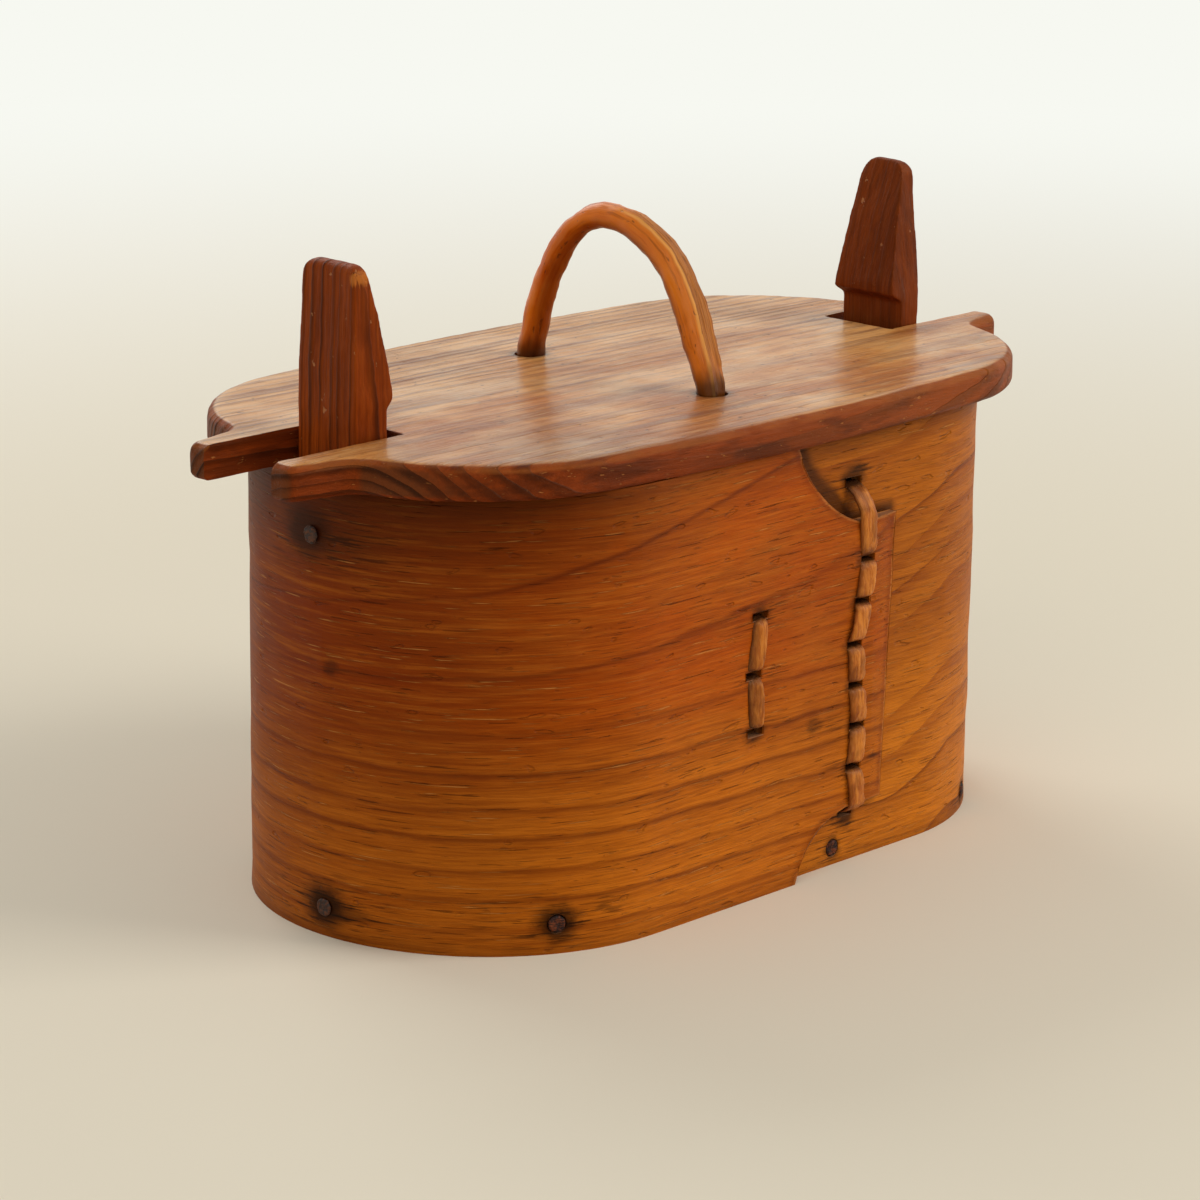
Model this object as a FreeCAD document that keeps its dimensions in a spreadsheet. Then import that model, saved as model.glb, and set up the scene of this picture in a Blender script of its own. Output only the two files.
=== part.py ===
import FreeCAD, Part
import math
import os
import Sketcher

# Oval bentwood box: a lapped and laced side band round a bottom board, two hooked end posts
# that stand inside the band, and a slotted lid with a bow handle that lifts off between them.
# Long axis along X, laced seam on the -Y side, base at Z = 0.

DRIVING_SIZES = [
    ("wall_length", 192.6, "outside length of the side band"),
    ("wall_width", 100.8, "outside width where the band is a single layer"),
    ("wall_height", 100.0, "height of the side band"),
    ("wall_thick", 3.2, "thickness of the band"),
    ("lap_gap", 0.2, "gap between the two layers of the lap"),
    ("inner_end_reach", 21.0, "how far the hidden inner end runs left of the middle"),
    ("inner_end_thick", 1.2, "thickness of the thinned inner end"),
    ("inner_end_taper", 14.0, "length over which the inner end is thinned"),
    ("lace_line", 20.0, "distance of the lacing right of the middle"),
    ("tongue_reach", 13.4, "how far the tongue runs past the lacing at its top"),
    ("tongue_cant", 3.6, "how much shorter the tongue is at its foot"),
    ("tongue_thick", 2.0, "thickness at the tongue's free edge"),
    ("tongue_start", 5.4, "where the tongue starts to thin, past the lacing line"),
    ("cove_width", 21.6, "width of the hollow cut above the lacing"),
    ("cove_drop", 20.2, "depth of that hollow below the rim"),
    ("cove_sag", 3.4, "how far the hollow bows below its chord"),
    ("heel_start", 3.0, "where the rounded cut at the foot begins, left of the lacing line"),
    ("heel_width", 16.4, "width of the rounded cut at the foot of the lap"),
    ("heel_sag", 3.0, "how far that cut bows above its chord"),
    ("lace_width", 4.8, "width of the root lacing"),
    ("slit_height", 1.6, "height of each slit that the lacing passes"),
    ("lace_rise", 1.7, "how far a stitch stands out from the band"),
    ("lace_inner_rise", 1.1, "how far a stitch stands out inside"),
    ("stitch_gap", 0.6, "space between two stitches where both go into one slit"),
    ("stitch_count", 5, "stitches between the two end stitches of the long seam"),
    ("row_drop", 28.9, "first hole of the row below the rim"),
    ("row_foot", 13.5, "last hole of the row above the bottom board"),
    ("anchor_drop", 11.8, "upper end hole below the rim, in the single layer"),
    ("anchor_foot", 1.4, "lower end hole above the bottom board"),
    ("heel_step", 3.0, "tongue's foot above the lower end hole"),
    ("tip_lace_line", 13.8, "distance of the short seam left of the middle"),
    ("tip_lace_top", 35.4, "top of the short seam below the rim"),
    ("tip_lace_foot", 28.5, "foot of the short seam above the bottom board"),
    ("board_thick", 10.0, "thickness of the bottom board"),
    ("peg_diameter", 4.2, "diameter of the wooden pegs"),
    ("peg_depth", 9.0, "how deep a peg goes into the bottom board"),
    ("peg_stand", 0.5, "how far a peg stands out of the band"),
    ("peg_cover", 0.8, "least wood above and below a peg in the board"),
    ("nail_shank", 2.2, "diameter of the iron nails"),
    ("nail_head", 4.4, "diameter of their heads"),
    ("nail_head_thick", 0.9, "thickness of their heads"),
    ("nail_length", 9.5, "length under the head"),
    ("post_width", 18.4, "width of a post across the box"),
    ("post_edge", 0.9, "rounding of the upright outer edges of the posts"),
    ("left_thick", 9.5, "thickness of the left post along the box"),
    ("right_thick", 6.9, "thickness of the right post along the box"),
    ("left_gap", 2.7, "space between the left post and the end of the band"),
    ("right_gap", 1.9, "space between the right post and the end of the band"),
    ("left_aside", 0.0, "how far the left post sits off the middle, towards the back"),
    ("right_aside", -0.7, "how far the right post sits off the middle, towards the back"),
    ("left_rise", 36.8, "height of the left post above the lid"),
    ("right_rise", 38.5, "height of the right post above the lid"),
    ("left_top_width", 16.0, "width at the top of the left post"),
    ("right_top_width", 12.0, "width at the top of the right post"),
    ("left_hook", 1.8, "how far the left hook stands in over the lid"),
    ("right_hook", 3.4, "how far the right hook stands in over the lid"),
    ("left_lean", 1.0, "how far the left post's outer face comes in towards its top"),
    ("right_lean", 0.3, "how far the right post's outer face comes in towards its top"),
    ("left_shoulder", 3.4, "rounding of the left post's top, seen from the end"),
    ("right_shoulder", 4.6, "rounding of the right post's top, seen from the end"),
    ("post_tip_thick", 3.4, "thickness left at the top of a post"),
    ("post_round", 2.3, "rounding of the outer corner at the top, seen from the side"),
    ("post_tip_round", 0.8, "rounding of the inner corner at the top of a post"),
    ("hook_slope", 2.0, "height of the sloping underside of a hook"),
    ("hook_land", 2.2, "height of the blunt tip of a hook"),
    ("hook_nose", 0.6, "rounding of the blunt tip"),
    ("hook_belly", 0.5, "how far the guiding face above it bows out"),
    ("belly_radius", 60.0, "radius of that bow"),
    ("neck_play", 5.4, "space between the lid and the hook above it"),
    ("mortise_depth", 2.0, "depth of the pocket for a post's foot"),
    ("mortise_clear", 0.25, "space round the foot in its pocket"),
    ("post_nail_drop", 12.0, "height of the post nails below the rim"),
    ("post_nail_aside", 2.0, "how far the post nails sit off the middle"),
    ("nail_clear", 0.35, "space round a nail in its post"),
    ("nail_run", 1.4, "free depth past the nail's point in its post"),
    ("lid_thick", 8.0, "thickness of the lid"),
    ("lid_side_over", 2.7, "lid beyond the lap at the long sides"),
    ("lid_side_radius", 640.0, "radius of the gently curved long sides"),
    ("lid_shoulder_over", 4.5, "shoulders beyond the ends of the band"),
    ("lid_shoulder_radius", 44.7, "radius of the four shoulders"),
    ("left_prong_over", 18.7, "left prongs beyond the end of the band"),
    ("right_prong_over", 17.1, "right prongs beyond the end of the band"),
    ("left_slot_play", 1.5, "space between the left hook and the end of its slot"),
    ("right_slot_play", 0.6, "space between the right hook and the end of its slot"),
    ("prong_tip_width", 6.6, "width of a prong at its tip"),
    ("prong_flare", 11.0, "angle by which a prong widens to its root, degrees"),
    ("ogee_radius", 6.0, "hollow curve between prong and shoulder"),
    ("lid_clear", 1.0, "space between the lid and the sides of the posts"),
    ("lid_top_round", 2.6, "rounding of the lid's upper edge"),
    ("lid_foot_bevel", 1.0, "bevel of the lid's lower edge"),
    ("handle_offset", 1.6, "how far the handle stands left of the middle"),
    ("handle_span", 56.4, "distance between the handle's feet"),
    ("handle_height", 38.0, "height of the handle above the lid"),
    ("handle_thick", 6.6, "thickness of the bent root"),
    ("handle_radius", 22.4, "radius of the handle's top"),
    ("handle_corner", 9.0, "radius of the bend above each foot"),
    ("handle_step", 3.8, "height of the bend's middle above the lid"),
    ("handle_tail", 6.5, "length of each end under the lid"),
    ("pin_diameter", 2.8, "diameter of the cross pins"),
    ("pin_length", 17.0, "length of the cross pins"),
]

# Hand-made unevenness of the long seam: sideways place of each hole, top to bottom
SEAM_WANDER = [1.0, 2.4, 1.2, -1.2, -0.6, 0.4, -0.6, 0.8]
TIP_WANDER = [0.9, -0.8, 0.2]

# Fasteners round the foot of the band: name, where it sits and its share of the board's height.
# An angle is measured about the end's own centre, a length along X from the middle.
FOOT_FASTENERS = [
    ("foot_nail_left", "left", 184.0, 0.85),
    ("foot_peg_front_left", "left", 242.0, 0.9),
    ("foot_peg_front", "front", 16.9, 0.25),
    ("foot_peg_front_right", "right", -60.0, 0.2),
    ("foot_peg_right", "right", 4.0, 0.5),
    ("foot_peg_back_right", "right", 63.0, 0.6),
    ("foot_peg_back", "back", -8.0, 0.4),
    ("foot_peg_back_left", "left", 121.0, 0.7),
]

doc = FreeCAD.newDocument("LacedOvalBox")
sheet = doc.addObject("Spreadsheet::Sheet", "Sizes")
for row, (alias, value, meaning) in enumerate(DRIVING_SIZES, 1):
    sheet.set(f"A{row}", meaning)
    sheet.set(f"B{row}", str(value))
    sheet.setAlias(f"B{row}", alias)
doc.recompute()

V = FreeCAD.Vector
Z_AXIS = V(0, 0, 1)
TOUCH = 1e-6
NEAR = 1e-4
nodes = []


def size(alias):
    return float(getattr(sheet, alias))


def sided(alias, side):
    """A size that differs between the two ends: side is -1 for the left, 1 for the right."""
    return size(("left_" if side < 0 else "right_") + alias)


def bind(obj, **expressions):
    for prop, expression in expressions.items():
        obj.setExpression(prop.replace("__", "."), expression)


# Levels and faces that several pieces share
half_length = size("wall_length") / 2
half_width = size("wall_width") / 2
thick = size("wall_thick")
lap_step = thick + size("lap_gap")
rim = size("wall_height")
board_top = size("board_thick")
lid_top = rim + size("lid_thick")
lap_face = half_width + lap_step
lap_back = half_width + size("lap_gap")

# The right end is half a circle about the middle line. The left end is a slightly larger one,
# which carries the band out by one thickness so that it passes over its own inner end.
right_centre = V(half_length - half_width, 0, 0)
left_radius = half_width + lap_step / 2
left_centre = V(-half_length + left_radius, -lap_step / 2, 0)


def sketch_on(body, role, name, offset=0.0):
    """A sketch on one of the body's origin planes, moved along that plane's normal."""
    sketch = body.newObject("Sketcher::SketchObject", name)
    plane = [f for f in body.Origin.OriginFeatures if f.Role == role][0]
    sketch.AttachmentSupport = [(plane, "")]
    sketch.MapMode = "FlatFace"
    sketch.AttachmentOffset = FreeCAD.Placement(V(0, 0, offset), FreeCAD.Rotation())
    return sketch


def line(a, b):
    return Part.LineSegment(V(*a, 0), V(*b, 0))


def arc(a, through, b):
    return Part.Arc(V(*a, 0), V(*through, 0), V(*b, 0))


def draw(sketch, geometry):
    """Adds the edges in order and ties each one's end to the next where the two meet."""
    numbers = [sketch.addGeometry(item, False) for item in geometry]
    for this, follow in zip(numbers, numbers[1:] + numbers[:1]):
        for end, start in ((1, 1), (1, 2), (2, 1), (2, 2)):
            gap = sketch.getPoint(this, end).distanceToPoint(sketch.getPoint(follow, start))
            if this != follow and gap < TOUCH:
                sketch.addConstraint(Sketcher.Constraint("Coincident", this, end, follow, start))
                break


def outline(points):
    """Straight closed outline through the points."""
    return [line(points[i], points[(i + 1) % len(points)]) for i in range(len(points))]


def rounded(corners):
    """Closed outline through (x, y, radius) corners, each rounded by an arc of its radius."""
    edges, cuts = [], []
    for i, (x, y, radius) in enumerate(corners):
        before, after = corners[i - 1], corners[(i + 1) % len(corners)]
        here = V(x, y, 0)
        back = (V(before[0], before[1], 0) - here).normalize()
        ahead = (V(after[0], after[1], 0) - here).normalize()
        half = back.getAngle(ahead) / 2
        trim = radius / math.tan(half)
        inward = (back + ahead).normalize()
        mid = here + inward * (radius / math.sin(half) - radius)
        cuts.append((here + back * trim, mid, here + ahead * trim, radius))
    for i, (start, mid, stop, radius) in enumerate(cuts):
        if radius:
            edges.append(Part.Arc(start, mid, stop))
        edges.append(Part.LineSegment(stop, cuts[(i + 1) % len(cuts)][0]))
    return edges


def sagged_arc(a, b, sag):
    """Arc from a to b whose middle stands off the chord by sag, to the left of the way."""
    mid = ((a[0] + b[0]) / 2, (a[1] + b[1]) / 2)
    dx, dy = b[0] - a[0], b[1] - a[1]
    length = math.hypot(dx, dy)
    return arc(a, (mid[0] - dy / length * sag, mid[1] + dx / length * sag), b)


def pad(body, sketch, name, expression):
    feature = body.newObject("PartDesign::Pad", name)
    feature.Profile = sketch
    bind(feature, Length=expression)
    body.Tip = feature
    return feature


def pocket(body, sketch, name, expression, reverse=False):
    feature = body.newObject("PartDesign::Pocket", name)
    feature.Profile = sketch
    feature.Reversed = reverse
    bind(feature, Length=expression)
    body.Tip = feature
    return feature


def piece(shape, label):
    """Puts a finished piece under its name on the list of pieces to write."""
    obj = doc.addObject("Part::Feature", label)
    obj.Label = label
    obj.Shape = shape
    nodes.append(obj)


def polar(centre, radius, degrees):
    angle = math.radians(degrees)
    return (centre.x + radius * math.cos(angle), centre.y + radius * math.sin(angle))


# Side band
def band_profile():
    """Plan of the band: one strip that runs once round and laps over its own inner end."""
    inner_x = -size("inner_end_reach")
    taper_x = inner_x + size("inner_end_taper")
    tip_x = size("lace_line") + size("tongue_reach")
    root_x = size("lace_line") + size("tongue_start")
    right_in, left_in = half_width - thick, left_radius - thick
    tip_face = lap_back + size("tongue_thick")
    cx, lx = right_centre.x, left_centre.x
    return [
        line((tip_x, -tip_face), (root_x, -lap_face)),
        line((root_x, -lap_face), (lx, -lap_face)),
        arc((lx, -lap_face), polar(left_centre, left_radius, 180), (lx, half_width)),
        line((lx, half_width), (cx, half_width)),
        arc((cx, half_width), polar(right_centre, half_width, 0), (cx, -half_width)),
        line((cx, -half_width), (inner_x, -half_width)),
        line((inner_x, -half_width), (inner_x, -half_width + size("inner_end_thick"))),
        line((inner_x, -half_width + size("inner_end_thick")), (taper_x, -right_in)),
        line((taper_x, -right_in), (cx, -right_in)),
        arc((cx, -right_in), polar(right_centre, right_in, 0), (cx, right_in)),
        line((cx, right_in), (lx, right_in)),
        arc((lx, right_in), polar(left_centre, left_in, 180), (lx, -lap_back)),
        line((lx, -lap_back), (tip_x, -lap_back)),
        line((tip_x, -lap_back), (tip_x, -tip_face)),
    ]


def lap_waste():
    """Front view of what is cut off the lap: the cove above, the end, the heel below."""
    lace = size("lace_line")
    tip_top = (lace + size("tongue_reach"), rim - size("cove_drop"))
    tip_foot = (tip_top[0] - size("tongue_cant"), heel_level())
    cove_foot = (lace, tip_top[1])
    cove_top = (lace - size("cove_width"), rim)
    heel_top = (lace - size("heel_start"), heel_level())
    heel_foot = (heel_top[0] - size("heel_width"), 0.0)
    spare = tip_top[0] + lap_step
    return [
        line((cove_top[0], rim + lap_step), cove_top),
        sagged_arc(cove_top, cove_foot, -size("cove_sag")),
        line(cove_foot, tip_top),
        line(tip_top, tip_foot),
        line(tip_foot, heel_top),
        sagged_arc(heel_top, heel_foot, -size("heel_sag")),
        line(heel_foot, (heel_foot[0], -lap_step)),
        line((heel_foot[0], -lap_step), (spare, -lap_step)),
        line((spare, -lap_step), (spare, rim + lap_step)),
        line((spare, rim + lap_step), (cove_top[0], rim + lap_step)),
    ]


def heel_level():
    return board_top + size("anchor_foot") + size("heel_step")


def seam_holes():
    """Hole places of the long seam, from the rim down, as (x, z)."""
    top = rim - size("row_drop")
    foot = board_top + size("row_foot")
    count = int(size("stitch_count"))
    heights = [rim - size("anchor_drop")]
    heights += [top + (foot - top) * i / count for i in range(count + 1)]
    heights += [board_top + size("anchor_foot")]
    wander = [SEAM_WANDER[i % len(SEAM_WANDER)] for i in range(len(heights) - 1)]
    wander.append(SEAM_WANDER[-1])
    return [(size("lace_line") + dx, z) for dx, z in zip(wander, heights)]


def tip_holes():
    """Hole places of the short seam that holds the hidden inner end."""
    top = rim - size("tip_lace_top")
    foot = board_top + size("tip_lace_foot")
    heights = [top, (top + foot) / 2, foot]
    return [(-size("tip_lace_line") + dx, z) for dx, z in zip(TIP_WANDER, heights)]


def slit(hole, face):
    """The slit of one hole, from the outer face given there to the inside of the band."""
    width, height = size("lace_width"), size("slit_height")
    depth = face - (half_width - thick)
    return Part.makeBox(width, depth, height, V(hole[0] - width / 2, -face, hole[1] - height / 2))


def seam_faces():
    """Outer face at each hole: the first and last are in the single layer beside the lap."""
    return [half_width] + [lap_face] * (len(seam_holes()) - 2) + [half_width]


def seam_slits():
    return [slit(place, face) for place, face in zip(seam_holes(), seam_faces())]


def tip_slits():
    return [slit(place, lap_face) for place in tip_holes()]


band_body = doc.addObject("PartDesign::Body", "BandBlank")
band_sketch = sketch_on(band_body, "XY_Plane", "BandPlan")
draw(band_sketch, band_profile())
pad(band_body, band_sketch, "BandPad", "Sizes.wall_height")
lap_sketch = sketch_on(band_body, "XZ_Plane", "LapWaste", lap_face)
draw(lap_sketch, lap_waste())
pocket(band_body, lap_sketch, "LapCut", "Sizes.wall_thick + Sizes.lap_gap / 2")
doc.recompute()


# Fasteners round the foot of the band
def foot_place(side, where):
    """Point on the band's outer face, and the direction out of it, for one fastener."""
    if side == "right":
        x, y = polar(right_centre, half_width, where)
        return V(x, y, 0), V(x - right_centre.x, y, 0).normalize()
    if side == "left":
        x, y = polar(left_centre, left_radius, where)
        return V(x, y, 0), (V(x, y, 0) - left_centre).normalize()
    sign = 1 if side == "back" else -1
    return V(where, sign * half_width, 0), V(0, sign, 0)


def foot_height(share):
    low = size("peg_cover") + size("peg_diameter") / 2
    return low + share * (size("board_thick") - 2 * low)


def peg_shape(face, out):
    """A whittled peg: a cylinder with a low bevelled end outside."""
    radius, stand = size("peg_diameter") / 2, size("peg_stand")
    length = thick + size("peg_depth")
    body = Part.makeCylinder(radius, length, face - out * length, out)
    return body.fuse(Part.makeCone(radius, radius - stand, stand, face, out))


def nail_shape(face, out):
    """A forged nail: tapered point, round shank and a low flat head."""
    shank, head = size("nail_shank") / 2, size("nail_head") / 2
    length, cap = size("nail_length"), size("nail_head_thick")
    profile = [V(0, 0, -length), V(shank, 0, -length + 2 * shank), V(shank, 0, 0), V(head, 0, 0),
               V(head, 0, cap / 2), V(head - cap / 2, 0, cap), V(0, 0, cap), V(0, 0, -length)]
    solid = Part.Face(Part.makePolygon(profile)).revolve(V(0, 0, 0), Z_AXIS, 360)
    solid.Placement = FreeCAD.Placement(face, FreeCAD.Rotation(Z_AXIS, out))
    return solid


foot_shapes = []
for name, side, where, share in FOOT_FASTENERS:
    face, out = foot_place(side, where)
    face.z = foot_height(share)
    make = nail_shape if "nail" in name else peg_shape
    foot_shapes.append((name, make(face, out)))

# Nails near the rim that reach from the band into the two posts
post_nails = []
for name, side in (("post_nail_left", -1), ("post_nail_right", 1)):
    face = V(side * half_length, side * size("post_nail_aside"), rim - size("post_nail_drop"))
    post_nails.append((name, side, nail_shape(face, V(side, 0, 0))))

fastener_cuts = Part.makeCompound([s for _, s in foot_shapes] + [s for _, _, s in post_nails])
slits = Part.makeCompound(seam_slits() + tip_slits())
piece(band_body.Shape.cut(slits).cut(fastener_cuts), "side_band")


# Root lacing
def stitch(a, b, rise, sink):
    """One stitch between two points on the wood: a low arch as wide as the lacing."""
    along = V(b.x - a.x, 0, b.z - a.z).normalize()
    across = V(0, 1, 0).cross(along)
    start = a + along * (size("stitch_gap") / 2)
    end = b - along * (size("stitch_gap") / 2)
    crest = V((start.x + end.x) / 2, rise, (start.z + end.z) / 2)
    low_start, low_end = V(start.x, sink, start.z), V(end.x, sink, end.z)
    edges = [Part.Arc(start, crest, end).toShape(), Part.makeLine(end, low_end),
             Part.makeLine(low_end, low_start), Part.makeLine(low_start, start)]
    blade = Part.Face(Part.Wire(edges))
    blade.translate(across * (-size("lace_width") / 2))
    return blade.extrude(across * size("lace_width"))


def lacing(holes, faces, passages):
    """The whole lacing of one seam: stitches on both faces and the bits in the slits."""
    inside = half_width - thick
    middle = half_width - thick / 2
    whole = passages[0].fuse(passages[1:])
    for i, (a, b) in enumerate(zip(holes, holes[1:])):
        outer = stitch(V(a[0], -faces[i], a[1]), V(b[0], -faces[i + 1], b[1]),
                       -lap_face - size("lace_rise"), -middle)
        inner = stitch(V(a[0], -inside, a[1]), V(b[0], -inside, b[1]),
                       -inside + size("lace_inner_rise"), -middle)
        whole = whole.fuse([outer.cut(band_body.Shape), inner.cut(band_body.Shape)])
    return whole.removeSplitter()


piece(lacing(seam_holes(), seam_faces(), seam_slits()), "seam_lacing")
piece(lacing(tip_holes(), [lap_face] * len(TIP_WANDER), tip_slits()), "tip_lacing")


# Bottom board
def board_profile():
    """Plan of the board: the inside of the band, with the little step at its inner end."""
    inner_x = -size("inner_end_reach")
    taper_x = inner_x + size("inner_end_taper")
    right_in, left_in = half_width - thick, left_radius - thick
    thin_face = half_width - size("inner_end_thick")
    cx, lx = right_centre.x, left_centre.x
    return [
        arc((cx, -right_in), polar(right_centre, right_in, 0), (cx, right_in)),
        line((cx, right_in), (lx, right_in)),
        arc((lx, right_in), polar(left_centre, left_in, 180), (lx, -lap_back)),
        line((lx, -lap_back), (inner_x - size("inner_end_thick"), -lap_back)),
        line((inner_x - size("inner_end_thick"), -lap_back), (inner_x, -thin_face)),
        line((inner_x, -thin_face), (taper_x, -right_in)),
        line((taper_x, -right_in), (cx, -right_in)),
    ]


def post_faces(side):
    """Distances of a post's outer and inner face from the middle of the box."""
    out = half_length - thick - sided("gap", side)
    return out, out - sided("thick", side)


post_foot = board_top - size("mortise_depth") + size("mortise_clear")

board_body = doc.addObject("PartDesign::Body", "BoardBlank")
board_sketch = sketch_on(board_body, "XY_Plane", "BoardPlan")
draw(board_sketch, board_profile())
pad(board_body, board_sketch, "BoardPad", "Sizes.board_thick")
mortise_sketch = sketch_on(board_body, "XY_Plane", "Mortises", board_top)
bind(mortise_sketch, AttachmentOffset__Base__z="Sizes.board_thick")
for side in (-1, 1):
    post_out, post_in = post_faces(side)
    near = side * (post_in - size("mortise_clear"))
    far = side * (post_out + size("mortise_clear"))
    reach = size("post_width") / 2 + size("mortise_clear")
    low, high = sided("aside", side) - reach, sided("aside", side) + reach
    draw(mortise_sketch, outline([(near, low), (far, low), (far, high), (near, high)]))
pocket(board_body, mortise_sketch, "MortiseCut", "Sizes.mortise_depth")
doc.recompute()
piece(board_body.Shape.cut(fastener_cuts), "bottom_board")

for name, shape in foot_shapes:
    piece(shape, name)
for name, side, shape in post_nails:
    piece(shape, name)


# End posts
def post_side_view(side):
    """Outline seen from the front: shank, neck, hook and the long guiding face above it."""
    post_out, post_in = post_faces(side)
    hook_foot = lid_top + size("neck_play")
    hook_in = post_in - sided("hook", side)
    tip_low = hook_foot + size("hook_slope")
    tip_high = tip_low + size("hook_land")
    top = lid_top + sided("rise", side)
    top_out = post_out - sided("lean", side)
    top_in = top_out - size("post_tip_thick")
    belly = ((hook_in + top_in) / 2 - size("hook_belly"), (tip_high + top) / 2)
    corners = [
        (post_in, post_foot, 0), (post_out, post_foot, 0), (post_out, hook_foot, 0),
        (top_out, top, size("post_round")), (top_in, top, size("post_tip_round")),
        (*belly, size("belly_radius")), (hook_in, tip_high, size("hook_nose")),
        (hook_in, tip_low, size("hook_nose")), (post_in, hook_foot, 0),
    ]
    return rounded([(side * x, z, radius) for x, z, radius in corners])


def post_end_waste(side, hand):
    """End view of the wood shaved off one edge of a post above the hook."""
    top = lid_top + sided("rise", side)
    start = lid_top + size("neck_play") + size("hook_slope")
    wide, narrow = size("post_width") / 2, sided("top_width", side) / 2
    corner = sided("shoulder", side)
    fall = math.atan2(wide - narrow, top - start)
    reach = corner * math.tan((math.pi / 2 - fall) / 2)
    slope = V(math.sin(fall), -math.cos(fall), 0)
    apex = V(narrow, top, 0)
    low, high = apex + slope * reach, apex - V(reach, 0, 0)
    heart = V(high.x, top - corner, 0)
    mid = heart + (apex - heart).normalize() * corner
    spare = wide + corner
    points = [(p.x, p.y) for p in (low, mid, high)]
    points = [(wide, start)] + points + [(high.x, top + corner), (spare, top + corner),
                                         (spare, start)]
    aside = sided("aside", side)
    start_p, low_p, mid_p, high_p, over, far, side_p = [(aside + hand * y, z) for y, z in points]
    return [line(start_p, low_p), arc(low_p, mid_p, high_p), line(high_p, over),
            line(over, far), line(far, side_p), line(side_p, start_p)]


def post_edge_waste(side, hand):
    """Plan of the wood taken off one upright outer edge of a post."""
    post_out = post_faces(side)[0]
    wide, edge = size("post_width") / 2, size("post_edge")
    dip = edge * (1 - math.sqrt(0.5))

    def at(x, y):
        return (side * x, sided("aside", side) + hand * y)

    return [
        arc(at(post_out, wide - edge), at(post_out - dip, wide - dip), at(post_out - edge, wide)),
        line(at(post_out - edge, wide), at(post_out - edge, wide + edge)),
        line(at(post_out - edge, wide + edge), at(post_out + edge, wide + edge)),
        line(at(post_out + edge, wide + edge), at(post_out + edge, wide - edge)),
        line(at(post_out + edge, wide - edge), at(post_out, wide - edge)),
    ]


def shave(body, plane, name, edges):
    """Cuts the drawn outline through the whole of a body."""
    sketch = sketch_on(body, plane, name)
    draw(sketch, edges)
    cut = body.newObject("PartDesign::Pocket", name + "_cut")
    cut.Profile = sketch
    cut.SideType = "Symmetric"
    cut.Type = "ThroughAll"
    body.Tip = cut


for label, side in (("post_left", -1), ("post_right", 1)):
    body = doc.addObject("PartDesign::Body", label + "_blank")
    view = sketch_on(body, "XZ_Plane", label + "_side", -sided("aside", side))
    draw(view, post_side_view(side))
    block = pad(body, view, label + "_pad", "Sizes.post_width")
    block.SideType = "Symmetric"
    for hand, word in ((-1, "front"), (1, "back")):
        shave(body, "YZ_Plane", f"{label}_{word}_top", post_end_waste(side, hand))
        shave(body, "XY_Plane", f"{label}_{word}_edge", post_edge_waste(side, hand))
    doc.recompute()
    post_out = post_faces(side)[0]
    nail_z = rim - size("post_nail_drop")
    nail_y = side * size("post_nail_aside")
    depth = half_length - size("nail_length") - size("nail_run")
    bore = Part.makeCylinder(size("nail_shank") / 2 + size("nail_clear"), post_out - depth,
                             V(side * post_out, nail_y, nail_z), V(-side, 0, 0))
    piece(body.Shape.cut(bore), label)


# Lid
slot_half = size("post_width") / 2 + size("lid_clear")


def lid_quarter(side):
    """Points of one quarter of the lid's outline, from the middle of a long side to a tip."""
    half_w = lap_face + size("lid_side_over")
    big, small = size("lid_side_radius"), size("lid_shoulder_radius")
    shoulder_x = half_length + size("lid_shoulder_over") - small
    big_y = half_w - big
    shoulder_y = big_y + math.sqrt((big - small) ** 2 - shoulder_x ** 2)
    scale = big / (big - small)
    join = (shoulder_x * scale, big_y + (shoulder_y - big_y) * scale)
    side_mid = join[0] / 2
    side_through = (side_mid, big_y + math.sqrt(big ** 2 - side_mid ** 2))

    tip_x = half_length + sided("prong_over", side)
    tip_round = size("prong_tip_width") / 2
    tip_centre = V(tip_x - tip_round, slot_half + tip_round, 0)
    flare = math.radians(size("prong_flare"))
    way = (-math.cos(flare), math.sin(flare))
    normal = (math.sin(flare), math.cos(flare))
    prong_end = polar(tip_centre, tip_round, 90 - size("prong_flare"))

    # Hollow curve: its centre is one radius off the prong's edge and off the shoulder's circle
    ogee = size("ogee_radius")
    base = (prong_end[0] + normal[0] * ogee, prong_end[1] + normal[1] * ogee)
    rel = (base[0] - shoulder_x, base[1] - shoulder_y)
    along = rel[0] * way[0] + rel[1] * way[1]
    rest = rel[0] ** 2 + rel[1] ** 2 - (small + ogee) ** 2
    run = -along - math.sqrt(along ** 2 - rest)
    hollow = (base[0] + way[0] * run, base[1] + way[1] * run)
    prong_root = (hollow[0] - normal[0] * ogee, hollow[1] - normal[1] * ogee)
    share = small / (small + ogee)
    shoulder_end = (shoulder_x + (hollow[0] - shoulder_x) * share,
                    shoulder_y + (hollow[1] - shoulder_y) * share)

    def between(centre, radius, a, b):
        mid = ((a[0] + b[0]) / 2 - centre[0], (a[1] + b[1]) / 2 - centre[1])
        length = math.hypot(*mid)
        return (centre[0] + mid[0] / length * radius, centre[1] + mid[1] / length * radius)

    centre = (shoulder_x, shoulder_y)
    return {
        "middle": (0.0, half_w), "side": side_through, "join": join,
        "shoulder": between(centre, small, join, shoulder_end), "shoulder_end": shoulder_end,
        "hollow": between(hollow, ogee, shoulder_end, prong_root), "prong_root": prong_root,
        "prong_end": prong_end, "tip": polar(tip_centre, tip_round, (90 - size("prong_flare")) / 2),
        "tip_end": (tip_x, tip_centre.y), "prong_in": (tip_x, slot_half),
    }


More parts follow.
